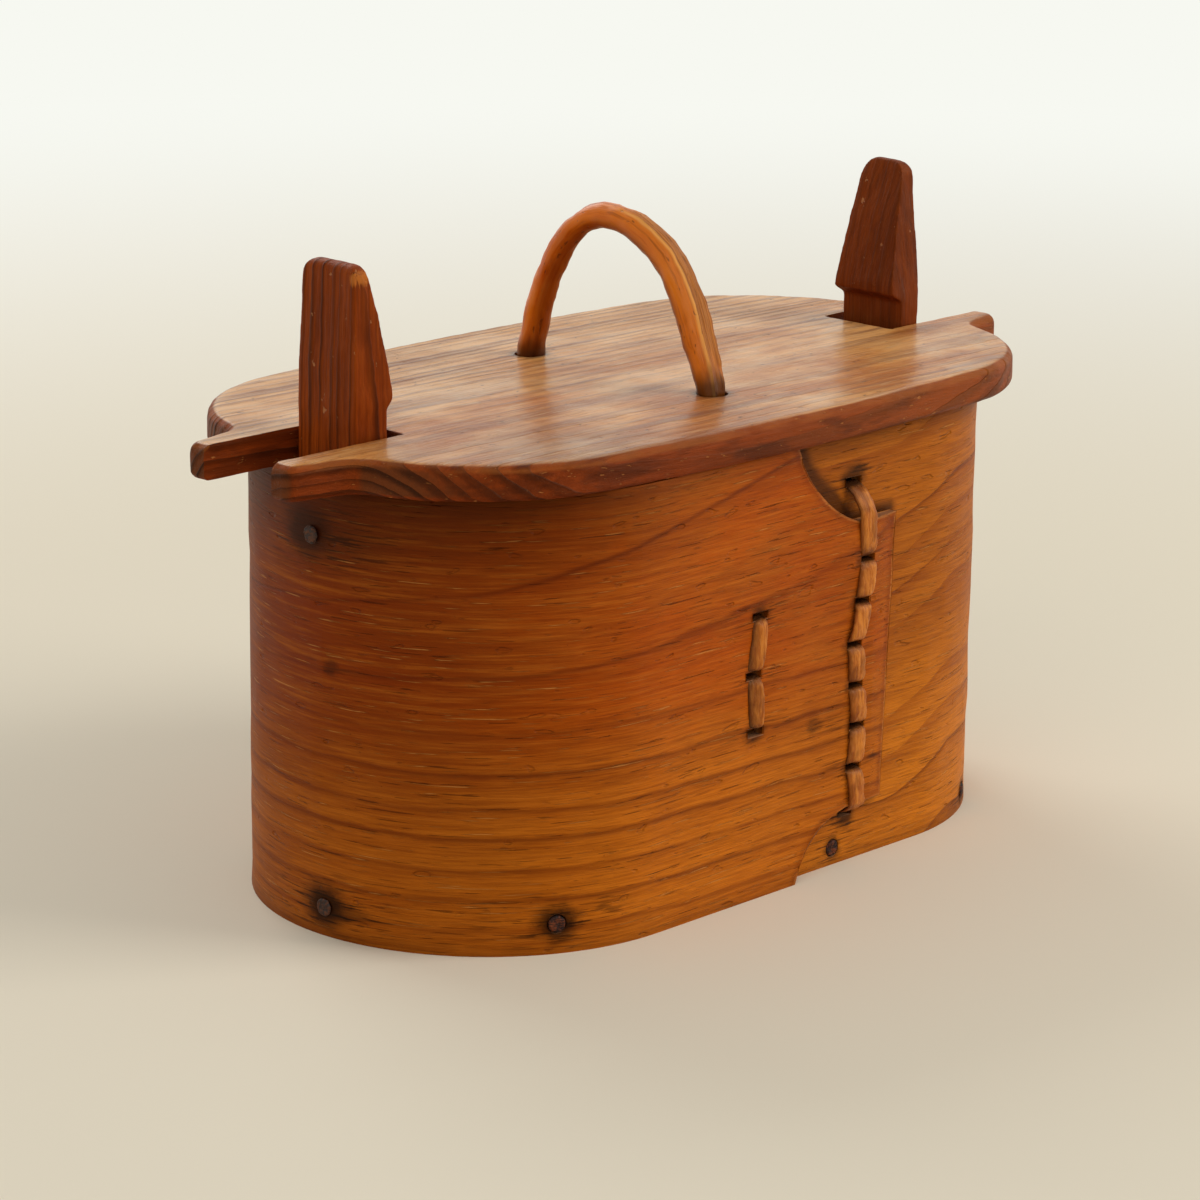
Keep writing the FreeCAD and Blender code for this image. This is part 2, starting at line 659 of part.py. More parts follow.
def lid_profile():
    """The whole outline: four quarters, with the two open slots at the ends."""
    quarters = {side: lid_quarter(side) for side in (-1, 1)}

    def flip(name, sx, sy):
        x, y = quarters[sx][name]
        return (sx * x, sy * y)

    def quarter(sx, sy):
        return [
            arc(flip("join", sx, sy), flip("shoulder", sx, sy), flip("shoulder_end", sx, sy)),
            arc(flip("shoulder_end", sx, sy), flip("hollow", sx, sy), flip("prong_root", sx, sy)),
            line(flip("prong_root", sx, sy), flip("prong_end", sx, sy)),
            arc(flip("prong_end", sx, sy), flip("tip", sx, sy), flip("tip_end", sx, sy)),
            line(flip("tip_end", sx, sy), flip("prong_in", sx, sy)),
        ]

    def turned(edges):
        back = []
        for edge in reversed(edges):
            if isinstance(edge, Part.LineSegment):
                back.append(Part.LineSegment(edge.EndPoint, edge.StartPoint))
            else:
                middle = edge.value((edge.FirstParameter + edge.LastParameter) / 2)
                back.append(Part.Arc(edge.EndPoint, middle, edge.StartPoint))
        return back

    def end(sx):
        slot_end = post_faces(sx)[1] - sided("hook", sx) - sided("slot_play", sx)
        inner = (sx * slot_end, slot_half)
        outer = (sx * slot_end, -slot_half)
        return [
            line(flip("prong_in", sx, 1), inner),
            line(inner, outer),
            line(outer, flip("prong_in", sx, -1)),
        ]

    right = quarter(1, 1) + end(1) + turned(quarter(1, -1))
    left = quarter(-1, 1) + end(-1) + turned(quarter(-1, -1))
    front = [arc(flip("join", 1, -1), flip("middle", 1, -1), flip("join", -1, -1))]
    back = [arc(flip("join", -1, 1), flip("middle", 1, 1), flip("join", 1, 1))]
    return back + right + front + turned(left)


def outer_edges(shape, height):
    """Edges of the lid's outline at one height, without those of the slots."""
    found = []
    for number, edge in enumerate(shape.Edges, 1):
        box = edge.BoundBox
        level = abs(box.ZMin - height) < NEAR and abs(box.ZMax - height) < NEAR
        inside = box.YMin > -slot_half - NEAR and box.YMax < slot_half + NEAR
        if level and not inside:
            found.append(f"Edge{number}")
    return found


lid_body = doc.addObject("PartDesign::Body", "LidBlank")
lid_sketch = sketch_on(lid_body, "XY_Plane", "LidPlan", rim)
bind(lid_sketch, AttachmentOffset__Base__z="Sizes.wall_height")
draw(lid_sketch, lid_profile())
lid_pad = pad(lid_body, lid_sketch, "LidPad", "Sizes.lid_thick")
doc.recompute()
for kind, name, height, dimension, alias in (
        ("PartDesign::Chamfer", "LidFootBevel", rim, "Size", "lid_foot_bevel"),
        ("PartDesign::Fillet", "LidTopRound", lid_top, "Radius", "lid_top_round")):
    base = lid_body.Tip
    dressing = lid_body.newObject(kind, name)
    dressing.Base = (base, outer_edges(base.Shape, height))
    bind(dressing, **{dimension: "Sizes." + alias})
    lid_body.Tip = dressing
    doc.recompute()


# Bow handle
def handle_route():
    """Half of the handle's centre line in the plane across the lid, as (y, z) edges."""
    foot_y = size("handle_span") / 2
    radius = size("handle_radius")
    top_z = lid_top + size("handle_height") - size("handle_thick") / 2
    centre_z = top_z - radius
    bend_z = lid_top + size("handle_step")
    reach = math.hypot(foot_y, centre_z - bend_z)
    lean = math.atan2(centre_z - bend_z, foot_y)
    opening = math.acos(radius / reach)
    touch = opening - lean
    leg_top = (radius * math.cos(touch), centre_z + radius * math.sin(touch))
    leg = (leg_top[0] - foot_y, leg_top[1] - bend_z)
    length = math.hypot(*leg)
    turn = math.acos(leg[1] / length)
    trim = size("handle_corner") * math.tan(turn / 2)
    low = (foot_y, bend_z - trim)
    high = (foot_y + leg[0] / length * trim, bend_z + leg[1] / length * trim)
    bend_centre = (foot_y - size("handle_corner"), low[1])
    bend_mid = (bend_centre[0] + size("handle_corner") * math.cos(turn / 2),
                bend_centre[1] + size("handle_corner") * math.sin(turn / 2))
    tail = (foot_y, rim - size("handle_tail"))
    return {"tail": tail, "low": low, "bend": bend_mid, "high": high, "leg_top": leg_top,
            "crown": (0.0, top_z)}


def handle_path():
    r = handle_route()

    def other(name):
        return (-r[name][0], r[name][1])

    return [
        line(r["tail"], r["low"]), arc(r["low"], r["bend"], r["high"]), line(r["high"], r["leg_top"]),
        arc(r["leg_top"], r["crown"], other("leg_top")),
        line(other("leg_top"), other("high")), arc(other("high"), other("bend"), other("low")),
        line(other("low"), other("tail")),
    ]


bow_body = doc.addObject("PartDesign::Body", "BowBlank")
path_sketch = sketch_on(bow_body, "YZ_Plane", "BowPath", -size("handle_offset"))
bind(path_sketch, AttachmentOffset__Base__z="-Sizes.handle_offset")
draw(path_sketch, handle_path())
section_sketch = sketch_on(bow_body, "XY_Plane", "BowSection", rim - size("handle_tail"))
bind(section_sketch, AttachmentOffset__Base__z="Sizes.wall_height - Sizes.handle_tail")
section_sketch.addGeometry(Part.Circle(V(-size("handle_offset"), size("handle_span") / 2, 0),
                                       Z_AXIS, size("handle_thick") / 2), False)
doc.recompute()
bow_pipe = bow_body.newObject("PartDesign::AdditivePipe", "BowPipe")
bow_pipe.Profile = section_sketch
bow_pipe.Spine = (path_sketch, [f"Edge{n}" for n in range(1, 8)])
bow_body.Tip = bow_pipe
doc.recompute()

pin_shapes = []
for label, hand in (("handle_pin_front", -1), ("handle_pin_back", 1)):
    start = V(-size("handle_offset") - size("pin_length") / 2, hand * size("handle_span") / 2,
              rim - size("pin_diameter") / 2)
    pin_shapes.append((label, Part.makeCylinder(size("pin_diameter") / 2, size("pin_length"),
                                                start, V(1, 0, 0))))
pin_cuts = Part.makeCompound([s for _, s in pin_shapes])
piece(bow_body.Shape.cut(pin_cuts), "handle_bow")
piece(lid_body.Shape.cut(bow_body.Shape), "lid_board")
for label, shape in pin_shapes:
    piece(shape, label)

doc.recompute()
for obj in doc.Objects:
    if "Invalid" in obj.State or "Error" in obj.State:
        raise RuntimeError(f"{obj.Label} did not build: {obj.State}")
for obj in nodes:
    if obj.Shape.isNull() or not obj.Shape.isValid() or not obj.Shape.Solids:
        raise RuntimeError(f"{obj.Label} has no valid solid")

os.makedirs("parts", exist_ok=True)
for obj in nodes:
    obj.Shape.exportStep(os.path.join("parts", obj.Label + ".step"))
    print(obj.Label, len(obj.Shape.Solids), "solid(s)", round(obj.Shape.Volume, 1), "mm3")
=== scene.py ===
import bpy
import math
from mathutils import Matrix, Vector, noise


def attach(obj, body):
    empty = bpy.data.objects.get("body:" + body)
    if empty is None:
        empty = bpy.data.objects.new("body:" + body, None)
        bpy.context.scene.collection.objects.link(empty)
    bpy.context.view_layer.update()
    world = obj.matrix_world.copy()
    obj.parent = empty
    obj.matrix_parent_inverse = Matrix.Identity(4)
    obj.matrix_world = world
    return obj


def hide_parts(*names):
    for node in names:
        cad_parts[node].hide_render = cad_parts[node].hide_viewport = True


# Oval bentwood box with hooked end posts, a slotted lid and a bent-root handle.
# Long axis X, laced seam on the -Y side, floor at Z = 0. Meshes are in metres.
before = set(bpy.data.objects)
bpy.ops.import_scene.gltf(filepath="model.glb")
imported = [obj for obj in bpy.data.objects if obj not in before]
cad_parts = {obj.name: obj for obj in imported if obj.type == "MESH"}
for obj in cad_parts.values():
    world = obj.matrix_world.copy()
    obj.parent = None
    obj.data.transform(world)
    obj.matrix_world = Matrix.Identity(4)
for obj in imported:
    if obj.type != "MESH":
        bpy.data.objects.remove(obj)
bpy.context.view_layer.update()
MM = 0.001

# Places that pieces and finishes share, in millimetres
RIM, LID_TOP = 100.0, 108.0  # heights of the band's rim and of the lid's upper face
BOW_X, FOOT_Y = -1.6, 28.2  # the handle's plane, and how far from the middle its feet stand
ONCE_ROUND = 502.2  # run of the band from its seam round to the seam again


# Colours and values on their way through a material
def tone(red, green, blue):
    """A colour given as it shows on a screen, 0 to 255."""
    def level(value):
        value /= 255
        return value / 12.92 if value <= 0.04045 else ((value + 0.055) / 1.055) ** 2.4
    return (level(red), level(green), level(blue), 1.0)


class Value:
    """One socket of a finish, so that sums and products can be written as such."""

    def __init__(self, finish, socket):
        self.finish, self.socket = finish, socket

    def maths(self, operation, *terms):
        return self.finish.add("ShaderNodeMath", {"operation": operation}, list(terms))

    def __add__(self, other):
        return self.maths("ADD", self, other)

    def __sub__(self, other):
        return self.maths("SUBTRACT", self, other)

    def __rsub__(self, other):
        return self.maths("SUBTRACT", other, self)

    def __mul__(self, other):
        return self.maths("MULTIPLY", self, other)

    __radd__ = __add__
    __rmul__ = __mul__

    def fraction(self):
        return self.maths("FRACT", self)


class Finish:
    """A material, with the few ways in which its nodes are made."""

    def __init__(self, name):
        self.material = bpy.data.materials.new(name)
        self.material.use_nodes = True
        self.take(self.material.node_tree)

    def take(self, tree):
        self.nodes, self.links = tree.nodes, tree.links
        self.nodes.clear()

    @classmethod
    def of(cls, tree):
        """The same ways for another tree, such as the world's."""
        item = cls.__new__(cls)
        item.take(tree)
        return item

    def add(self, kind, settings=None, sockets=(), output=0):
        """A node with its settings made first; gives the output asked for, or one for each name."""
        node = self.nodes.new(kind)
        for key, value in (settings or {}).items():
            if key == "stops":
                ramp = node.color_ramp
                while len(ramp.elements) < len(value):
                    ramp.elements.new(0.5)
                for element, (place, colour) in zip(ramp.elements, value):
                    element.position, element.color = place, colour
            else:
                setattr(node, key, value)
        items = sockets.items() if isinstance(sockets, dict) else enumerate(sockets)
        for key, value in items:
            if isinstance(value, Value):
                self.links.new(value.socket, node.inputs[key])
            else:
                node.inputs[key].default_value = value
        if output is None:
            return None
        if isinstance(output, tuple):
            return [Value(self, node.outputs[key]) for key in output]
        return Value(self, node.outputs[output])

    def in_millimetres(self, place):
        return self.add("ShaderNodeVectorMath", {"operation": "SCALE"}, {0: place, "Scale": 1000})

    def fibre(self):
        """Place in the wood, as set_fibre stored it, in millimetres."""
        return self.in_millimetres(
            self.add("ShaderNodeAttribute", {"attribute_name": "fibre"}, output="Vector"))

    def place(self):
        """Place in the object's frame, in millimetres."""
        return self.in_millimetres(self.add("ShaderNodeTexCoord", output="Object"))

    def facing(self):
        """Direction that the surface faces."""
        return self.add("ShaderNodeTexCoord", output="Normal")

    def parts(self, vector):
        """The three values of a vector."""
        return self.add("ShaderNodeSeparateXYZ", {}, [vector], (0, 1, 2))

    def joined(self, x, y, z):
        return self.add("ShaderNodeCombineXYZ", {}, [x, y, z])

    def length(self, vector):
        return self.add("ShaderNodeVectorMath", {"operation": "LENGTH"}, [vector], "Value")

    def stretched(self, vector, scale, turn):
        """The vector with each axis scaled, turned about Z by so many degrees."""
        return self.add("ShaderNodeMapping", {}, {
            "Vector": vector, "Scale": scale, "Rotation": (0, 0, math.radians(turn))})

    def noise(self, vector, detail, rough, scale=1.0):
        return self.add("ShaderNodeTexNoise", {}, {
            "Vector": vector, "Scale": scale, "Detail": detail, "Roughness": rough})

    def clouds(self, x, y, z, detail=3.0, rough=0.55):
        """Noise read at this place, between 0 and 1 and mostly near the middle."""
        return self.noise(self.joined(x, y, z), detail, rough)

    def step(self, value, low, high):
        """0 below low, 1 above high, smooth between; low may be the larger."""
        return self.add("ShaderNodeMapRange", {"interpolation_type": "SMOOTHSTEP"},
                        [value, low, high, 0.0, 1.0])

    def mix(self, factor, first, second):
        """The first colour where the factor is 0, the second where it is 1."""
        return self.add("ShaderNodeMix", {"data_type": "RGBA"}, {0: factor, 6: first, 7: second}, 2)

    def ramp(self, value, stops):
        return self.add("ShaderNodeValToRGB", {"stops": stops}, [value])

    def spot(self, x, y, centre, radius, soft):
        """1 inside a round spot about the centre, 0 outside it, soft at its edge."""
        gap = self.joined(x - centre[0], y - centre[1], 0.0)
        return self.step(self.length(gap), radius + soft, radius - soft)

    def outline_gap(self, x, y, corners):
        """Distance from a line through these corners."""
        nearest = None
        for (ax, ay), (bx, by) in zip(corners, corners[1:]):
            length = math.hypot(bx - ax, by - ay)
            ux, uy = (bx - ax) / length, (by - ay) / length
            dx, dy = x - ax, y - ay
            along = dx * ux + dy * uy
            over = along - along.maths("MINIMUM", along.maths("MAXIMUM", along, 0.0), length)
            gap = self.length(self.joined(over, dy * ux - dx * uy, 0.0))
            nearest = gap if nearest is None else gap.maths("MINIMUM", gap, nearest)
        return nearest

    def surface(self, colour, roughness, height, depth, **fixed):
        """Ends the material; height drives a bump that is depth millimetres deep."""
        sockets = {"Base Color": colour, "Roughness": roughness}
        sockets.update({key.replace("_", " "): value for key, value in fixed.items()})
        sockets["Normal"] = self.add("ShaderNodeBump", {}, {
            "Height": height, "Distance": depth * MM, "Strength": 1.0})
        shader = self.add("ShaderNodeBsdfPrincipled", {}, sockets)
        self.add("ShaderNodeOutputMaterial", {}, [shader], None)
        return self.material


# Finishes
def scratches(wood, along, across, third, turn, amount):
    """Short fine dashes that run nearly with the fibres; a lower amount gives more of them."""
    place = wood.stretched(wood.joined(along, across, third), (0.07, 2.4, 2.4), turn)
    return wood.step(wood.noise(place, 2.0, 0.5), amount, amount + 0.06)


# Edge of the lapped end, from the rim down: places along the band and heights
LAP_EDGE = (
    (-1.6, 100.0), (0.6, 95.4), (3.4, 91.2), (6.9, 87.4), (10.9, 84.2), (15.3, 81.6), (20.0, 79.8),
    (33.4, 79.8), (29.8, 14.4), (17.0, 14.4), (9.9, 11.7), (4.2, 6.7), (0.6, 0.0),
)

# Growth rings on the lapped end: height left of its middle, strength, how far it shades below
TIP_RINGS = (
    (5.0, 0.6, 3.0), (12.0, 0.75, 4.0), (18.5, 0.7, 4.0), (25.5, 0.9, 4.5), (32.0, 0.85, 4.0),
    (40.0, 1.0, 5.0), (49.0, 0.55, 5.0), (63.0, 0.8, 6.0), (72.0, 0.25, 5.0), (87.0, 1.0, 7.0),
)

# Dark marks: place along the strip and height, radius, strength, how much longer than high
MARKS = (
    # nail near the rim and nail at the foot, each with a smear beside it
    ((374.6, 88.9), 6.4, 0.92, 1.2), ((384.0, 87.5), 4.2, 0.28, 3.0),
    ((379.6, 6.7), 5.2, 0.95, 1.2), ((386.0, 6.5), 2.4, 0.5, 2.5),
    # pegs at the front, and the top and bottom slit of the long seam, the slits' halos dirt with
    # painted shade
    ((432.5, 6.7), 4.3, 0.92, 1.2), ((16.9, 3.9), 2.9, 0.8, 1.0),
    ((21.0, 88.9), 3.2, 0.8, 1.3), ((21.2, 10.6), 2.8, 0.85, 1.0),
    # two small knots
    ((382.0, 60.0), 1.8, 0.5, 1.0), ((508.0, 36.0), 2.2, 0.45, 1.3),
    # slits of the short seam, then of the long one; their halos are dirt with painted shade about each
    # slit
    ((489.3, 64.6), 2.6, 0.8, 1.2), ((487.7, 51.6), 2.6, 0.6, 1.0), ((488.6, 38.5), 2.6, 0.75, 1.2),
    ((523.4, 71.1), 2.8, 0.6, 1.0), ((521.9, 61.6), 2.6, 0.6, 1.0), ((519.7, 52.1), 2.6, 0.6, 1.0),
    ((520.4, 42.5), 2.6, 0.6, 1.0), ((521.4, 33.0), 2.6, 0.6, 1.0), ((520.4, 23.5), 2.6, 0.6, 1.0),
    # pegs round the right end and the back, and the nail near the rim at the right
    ((72.3, 3.7), 3.0, 0.7, 1.3), ((128.6, 5.0), 3.2, 0.7, 1.3), ((180.5, 5.4), 3.2, 0.7, 1.3),
    ((258.1, 4.6), 3.2, 0.7, 1.3), ((322.5, 5.8), 3.2, 0.7, 1.3), ((127.1, 88.0), 4.2, 0.85, 1.2),
)


def tip_rings(wood, level):
    """Shade and dark line of the rings in TIP_RINGS, from the height that they are read at."""
    black = (0, 0, 0, 1)
    shade, line = [(0.0, black)], [(0.0, black)]
    for height, strength, reach in TIP_RINGS:
        dark = (strength, strength, strength, 1)
        shade += [((height - reach) / RIM, black), (height / RIM, dark), ((height + 0.9) / RIM, black)]
        line += [((height - 1.1) / RIM, black), ((height - 0.2) / RIM, dark),
                 ((height + 0.6) / RIM, black)]
    level = level * (1 / RIM)
    return wood.ramp(level, shade), wood.ramp(level, line)


def band_rings(wood, along, z, near_tip):
    """Shade and dark line of the growth rings, which follow TIP_RINGS on the tongue's side."""
    past = along - ONCE_ROUND
    wobble = wood.clouds(along * 0.010, z * 0.02, 0.0, 2.0) - 0.5
    ripple = wood.clouds(along * 0.035, z * 0.10, 7.0) - 0.5
    fall = wood.step(z, 45.0, 90.0) * 0.24 - 0.01
    outer = z - fall * (past + 50.0) + wobble * 3.5 + ripple * 2.6
    tip_shade, tip_line = tip_rings(wood, outer)
    arch = wood.step(along, 33.0, 62.0) * 9.0 - wood.step(along, 72.0, 125.0) * 12.0
    inner = z - arch + 3.5 + wobble * 9.0 + ripple * 3.0
    drift = wood.clouds(inner * 0.045, 3.7, 0.0, 0.0) * 2.0
    ring = (inner * 0.085 + drift).fraction()
    strength = wood.clouds(along * 0.012, inner * 0.11, 1.0, 2.0)
    back_shade = wood.step(ring, 0.35, 0.95) * wood.step(ring, 1.0, 0.975)
    back_line = wood.step(ring, 0.86, 0.95) * wood.step(ring, 0.995, 0.965)
    back_line = back_line * wood.step(strength, 0.38, 0.62)
    broken = wood.step(strength, 0.25, 0.55) * 0.6 + 0.4
    shade = back_shade + (tip_shade - back_shade) * near_tip
    line = back_line + (tip_line * broken - back_line) * near_tip
    return shade, line


def band_marks(wood, colour, along, z, ragged):
    """The colour with a dark halo and small cracks about each of MARKS."""
    crack = wood.step(wood.clouds(along * 0.10, z * 1.6, 6.0), 0.54, 0.62)
    for (place, level), radius, weight, stretch in MARKS:
        halo = wood.spot(along * (1.0 / stretch) + ragged * 0.8, z + ragged * 0.5,
                         (place / stretch, level), radius * 0.9, radius * 0.5)
        colour = wood.mix(halo * weight, colour, tone(30, 9, 3))
        split = wood.spot(along * 0.33 + ragged * 0.2, z, (place * 0.33, level), radius * 1.1, radius)
        colour = wood.mix(split * crack * weight, colour, tone(26, 8, 3))
    return colour


def band_lap(wood, colour, along, z, near_tip, stain, fibres, cloudy):
    """The colour with painted shadow under the lapped end's edge, the edge's dirt with painted shade
    along it, and its wear with a painted highlight.
    """
    past_back = wood.step(along, 300.0, 300.1)
    gap = wood.outline_gap(along - past_back * ONCE_ROUND, z, LAP_EDGE)
    high = wood.step(z, 74.0, 84.0) * wood.step(along, 22.0, 14.0)
    # painted shadow that the lapped end casts on the wood beside it
    under = wood.step(gap + (stain - 0.5) * 1.6 - high * 3.2, 3.2, 0.3) * (1.0 - near_tip)
    colour = wood.mix(under * 0.80, colour, tone(44, 15, 4))
    # a darker strip along the tongue's edge: dirt, and painted shade
    edge_dirt_and_shade = wood.step(gap, 2.6, 0.8) * near_tip
    colour = wood.mix(edge_dirt_and_shade * 0.35, colour, tone(104, 34, 6))
    # a pale line on the tongue's edge: wear, and a painted highlight
    worn_edge_and_highlight = wood.step(gap + (fibres - 0.5) * 1.6, 0.8, 0.3) * near_tip * (cloudy * 0.4 + 0.25)
    return wood.mix(worn_edge_and_highlight, colour, tone(206, 132, 66))


def band_finish():
    wood = Finish("band_pine_finish")
    along, z, deep = wood.parts(wood.fibre())
    past = along - ONCE_ROUND
    near_tip = wood.step(along, 260.0, 340.0)
    shade, line = band_rings(wood, along, z, near_tip)

    fibres = wood.clouds(along * 0.045, z * 1.1, deep, 4.0, 0.6)
    hairs = wood.clouds(along * 0.14, z * 4.5, deep, 2.0, 0.5)
    patches = wood.clouds(along * 0.025, z * 0.045, 0.0, 4.0, 0.62)
    cloudy = wood.step(patches, 0.35, 0.65)
    left_end_red_and_shade = wood.step(past, -15.0, -110.0) * near_tip
    seam_side = wood.step(past, -50.0, 12.0) * near_tip
    low = wood.step(z, 62.0, 20.0)

    # ground, with its lights and darks from the large to the fine
    colour = wood.mix(near_tip, tone(180, 97, 18), tone(190, 83, 7))
    colour = wood.mix(seam_side * 0.5, colour, tone(158, 70, 10))
    colour = wood.mix(cloudy * 0.40, colour, tone(182, 104, 30))
    colour = wood.mix(low * (0.70 - seam_side * 0.25), colour, tone(222, 128, 26))
    # the left end darker and redder: partly the wood's own tone, partly painted shade
    colour = wood.mix(left_end_red_and_shade * (0.80 - low * 0.30), colour, tone(98, 30, 2))
    colour = wood.mix(wood.step(fibres, 0.45, 0.75) * 0.32, colour, tone(204, 116, 34))
    colour = wood.mix(wood.step(fibres, 0.52, 0.30) * 0.36, colour, tone(108, 36, 3))
    colour = wood.mix(wood.step(hairs, 0.60, 0.40) * 0.24, colour, tone(96, 32, 4))
    colour = wood.mix(shade * 0.32, colour, tone(118, 38, 3))
    colour = wood.mix(line * (near_tip * 0.22 + 0.38), colour, tone(80, 20, 2))

    # scratches, flecks and dents
    pale = scratches(wood, along, z, deep, -5.0, 0.650)
    colour = wood.mix(pale * 0.45, colour, tone(222, 150, 76))
    dark = scratches(wood, along, z + 31.0, deep, 3.0, 0.675)
    colour = wood.mix(dark * 0.5, colour, tone(60, 18, 3))
    flecks = wood.clouds(along * 0.8, z * 1.2, 9.0, 2.0, 0.6)
    colour = wood.mix(wood.step(flecks, 0.71, 0.78) * 0.65, colour, tone(56, 18, 5))
    dents = wood.step(wood.clouds(along * 0.12, z * 0.35, 5.0, 2.0, 0.5), 0.66, 0.72)

    # stains, painted shadow and highlight about the lapped edge, the dark of a small tear on the
    # tongue, and the dark under the lid, partly stain and partly painted shadow
    stain = wood.clouds(along * 0.18, z * 0.3, 4.0, 4.0, 0.7)
    ragged = (stain - 0.5) * 6.0
    colour = band_marks(wood, colour, along, z, ragged)
    colour = band_lap(wood, colour, along, z, near_tip, stain, fibres, cloudy)
    tear = wood.spot(past * 0.28 + ragged * 0.1, z + ragged * 0.3 + past * 0.05,
                     (26.5 * 0.28, 25.6), 0.5, 0.35)
    colour = wood.mix(tear * near_tip * 0.8, colour, tone(52, 16, 4))
    # the dark under the lid's edge at the left: stain, and painted shadow of the lid
    lid_shadow_and_stain = wood.step(z + ragged, RIM - 26.0, RIM - 2.0) * wood.step(past, -10.0, -90.0) * near_tip
    colour = wood.mix(lid_shadow_and_stain * 0.68, colour, tone(56, 16, 2))
    # darker in a strip just below the rim and in one just above the foot
    darker_below_rim = wood.step(z, RIM - 8.0, RIM - 1.0) * 0.40
    darker_above_foot = wood.step(z, 5.0, 0.0) * 0.35
    colour = wood.mix((darker_below_rim + darker_above_foot) * (stain + 0.3), colour, tone(60, 20, 5))

    # the paler inside, and faces below the rim that were cut across and look up
    inside = wood.step(deep, 0.5, -0.5)
    colour = wood.mix(inside * 0.5, colour, tone(196, 130, 70))
    up = wood.parts(wood.facing())[2]
    cut_face = wood.step(up, 0.45, 0.8) * wood.step(z, RIM - 1.0, RIM - 2.0)
    worn_wood = wood.mix(stain, tone(176, 132, 98), tone(104, 58, 30))
    colour = wood.mix(cut_face * 0.85, colour, worn_wood)

    height = (fibres * 0.60 + hairs * 0.26 - line * 0.75 + shade * 0.4 + patches * 1.4
              - pale * 0.6 - dark * 0.8 - dents * 1.2)
    rough = 0.34 + fibres * 0.16 + patches * 0.16
    return wood.surface(colour, rough, height, 0.34, Specular_IOR_Level=0.13,
                        Specular_Tint=tone(255, 200, 140))


def lid_rings(wood, x, y, z):
    """Late wood of rings about a pith that lies below the front half of the board."""
    bend = wood.clouds(x * 0.008, y * 0.03, z * 0.03, 2.0) - 0.5
    ripple = wood.clouds(x * 0.03, y * 0.14, z * 0.14) - 0.5
    side = y + x * 0.03 + bend * 7.0 + 21.0
    below = z - 82.0
    away = wood.length(wood.joined(side, below, 0.0)) + ripple * 1.2
    drift = wood.clouds(away * 0.10, 5.0, 0.0, 1.0) * 2.0
    ring = (away * 0.36 + drift).fraction()
    strength = wood.clouds(x * 0.018, away * 0.35, 1.0, 2.0)
    ridge = wood.step(ring, 0.35, 0.88) * wood.step(ring, 1.0, 0.94)
    return ridge * (wood.step(strength, 0.30, 0.58) * 0.7 + 0.3)


def lid_rim(wood, x, ridge, fibres, blotch, dings):
    """Colour of the board's edge, which is darker than its top."""
    rim = wood.mix(fibres, tone(88, 28, 5), tone(152, 62, 15))
    rim = wood.mix(ridge * 0.7, rim, tone(44, 14, 4))
    # painted light: the right part of the edge lighter, where the lamp falls on it
    lit_right_side = wood.step(x, -60.0, 60.0)
    rim = wood.mix(lit_right_side * 0.4, rim, tone(160, 82, 30))
    rim = wood.mix(wood.step(blotch, 0.48, 0.64) * 0.5, rim, tone(54, 16, 5))
    return wood.mix(dings * 0.6, rim, tone(196, 122, 62))


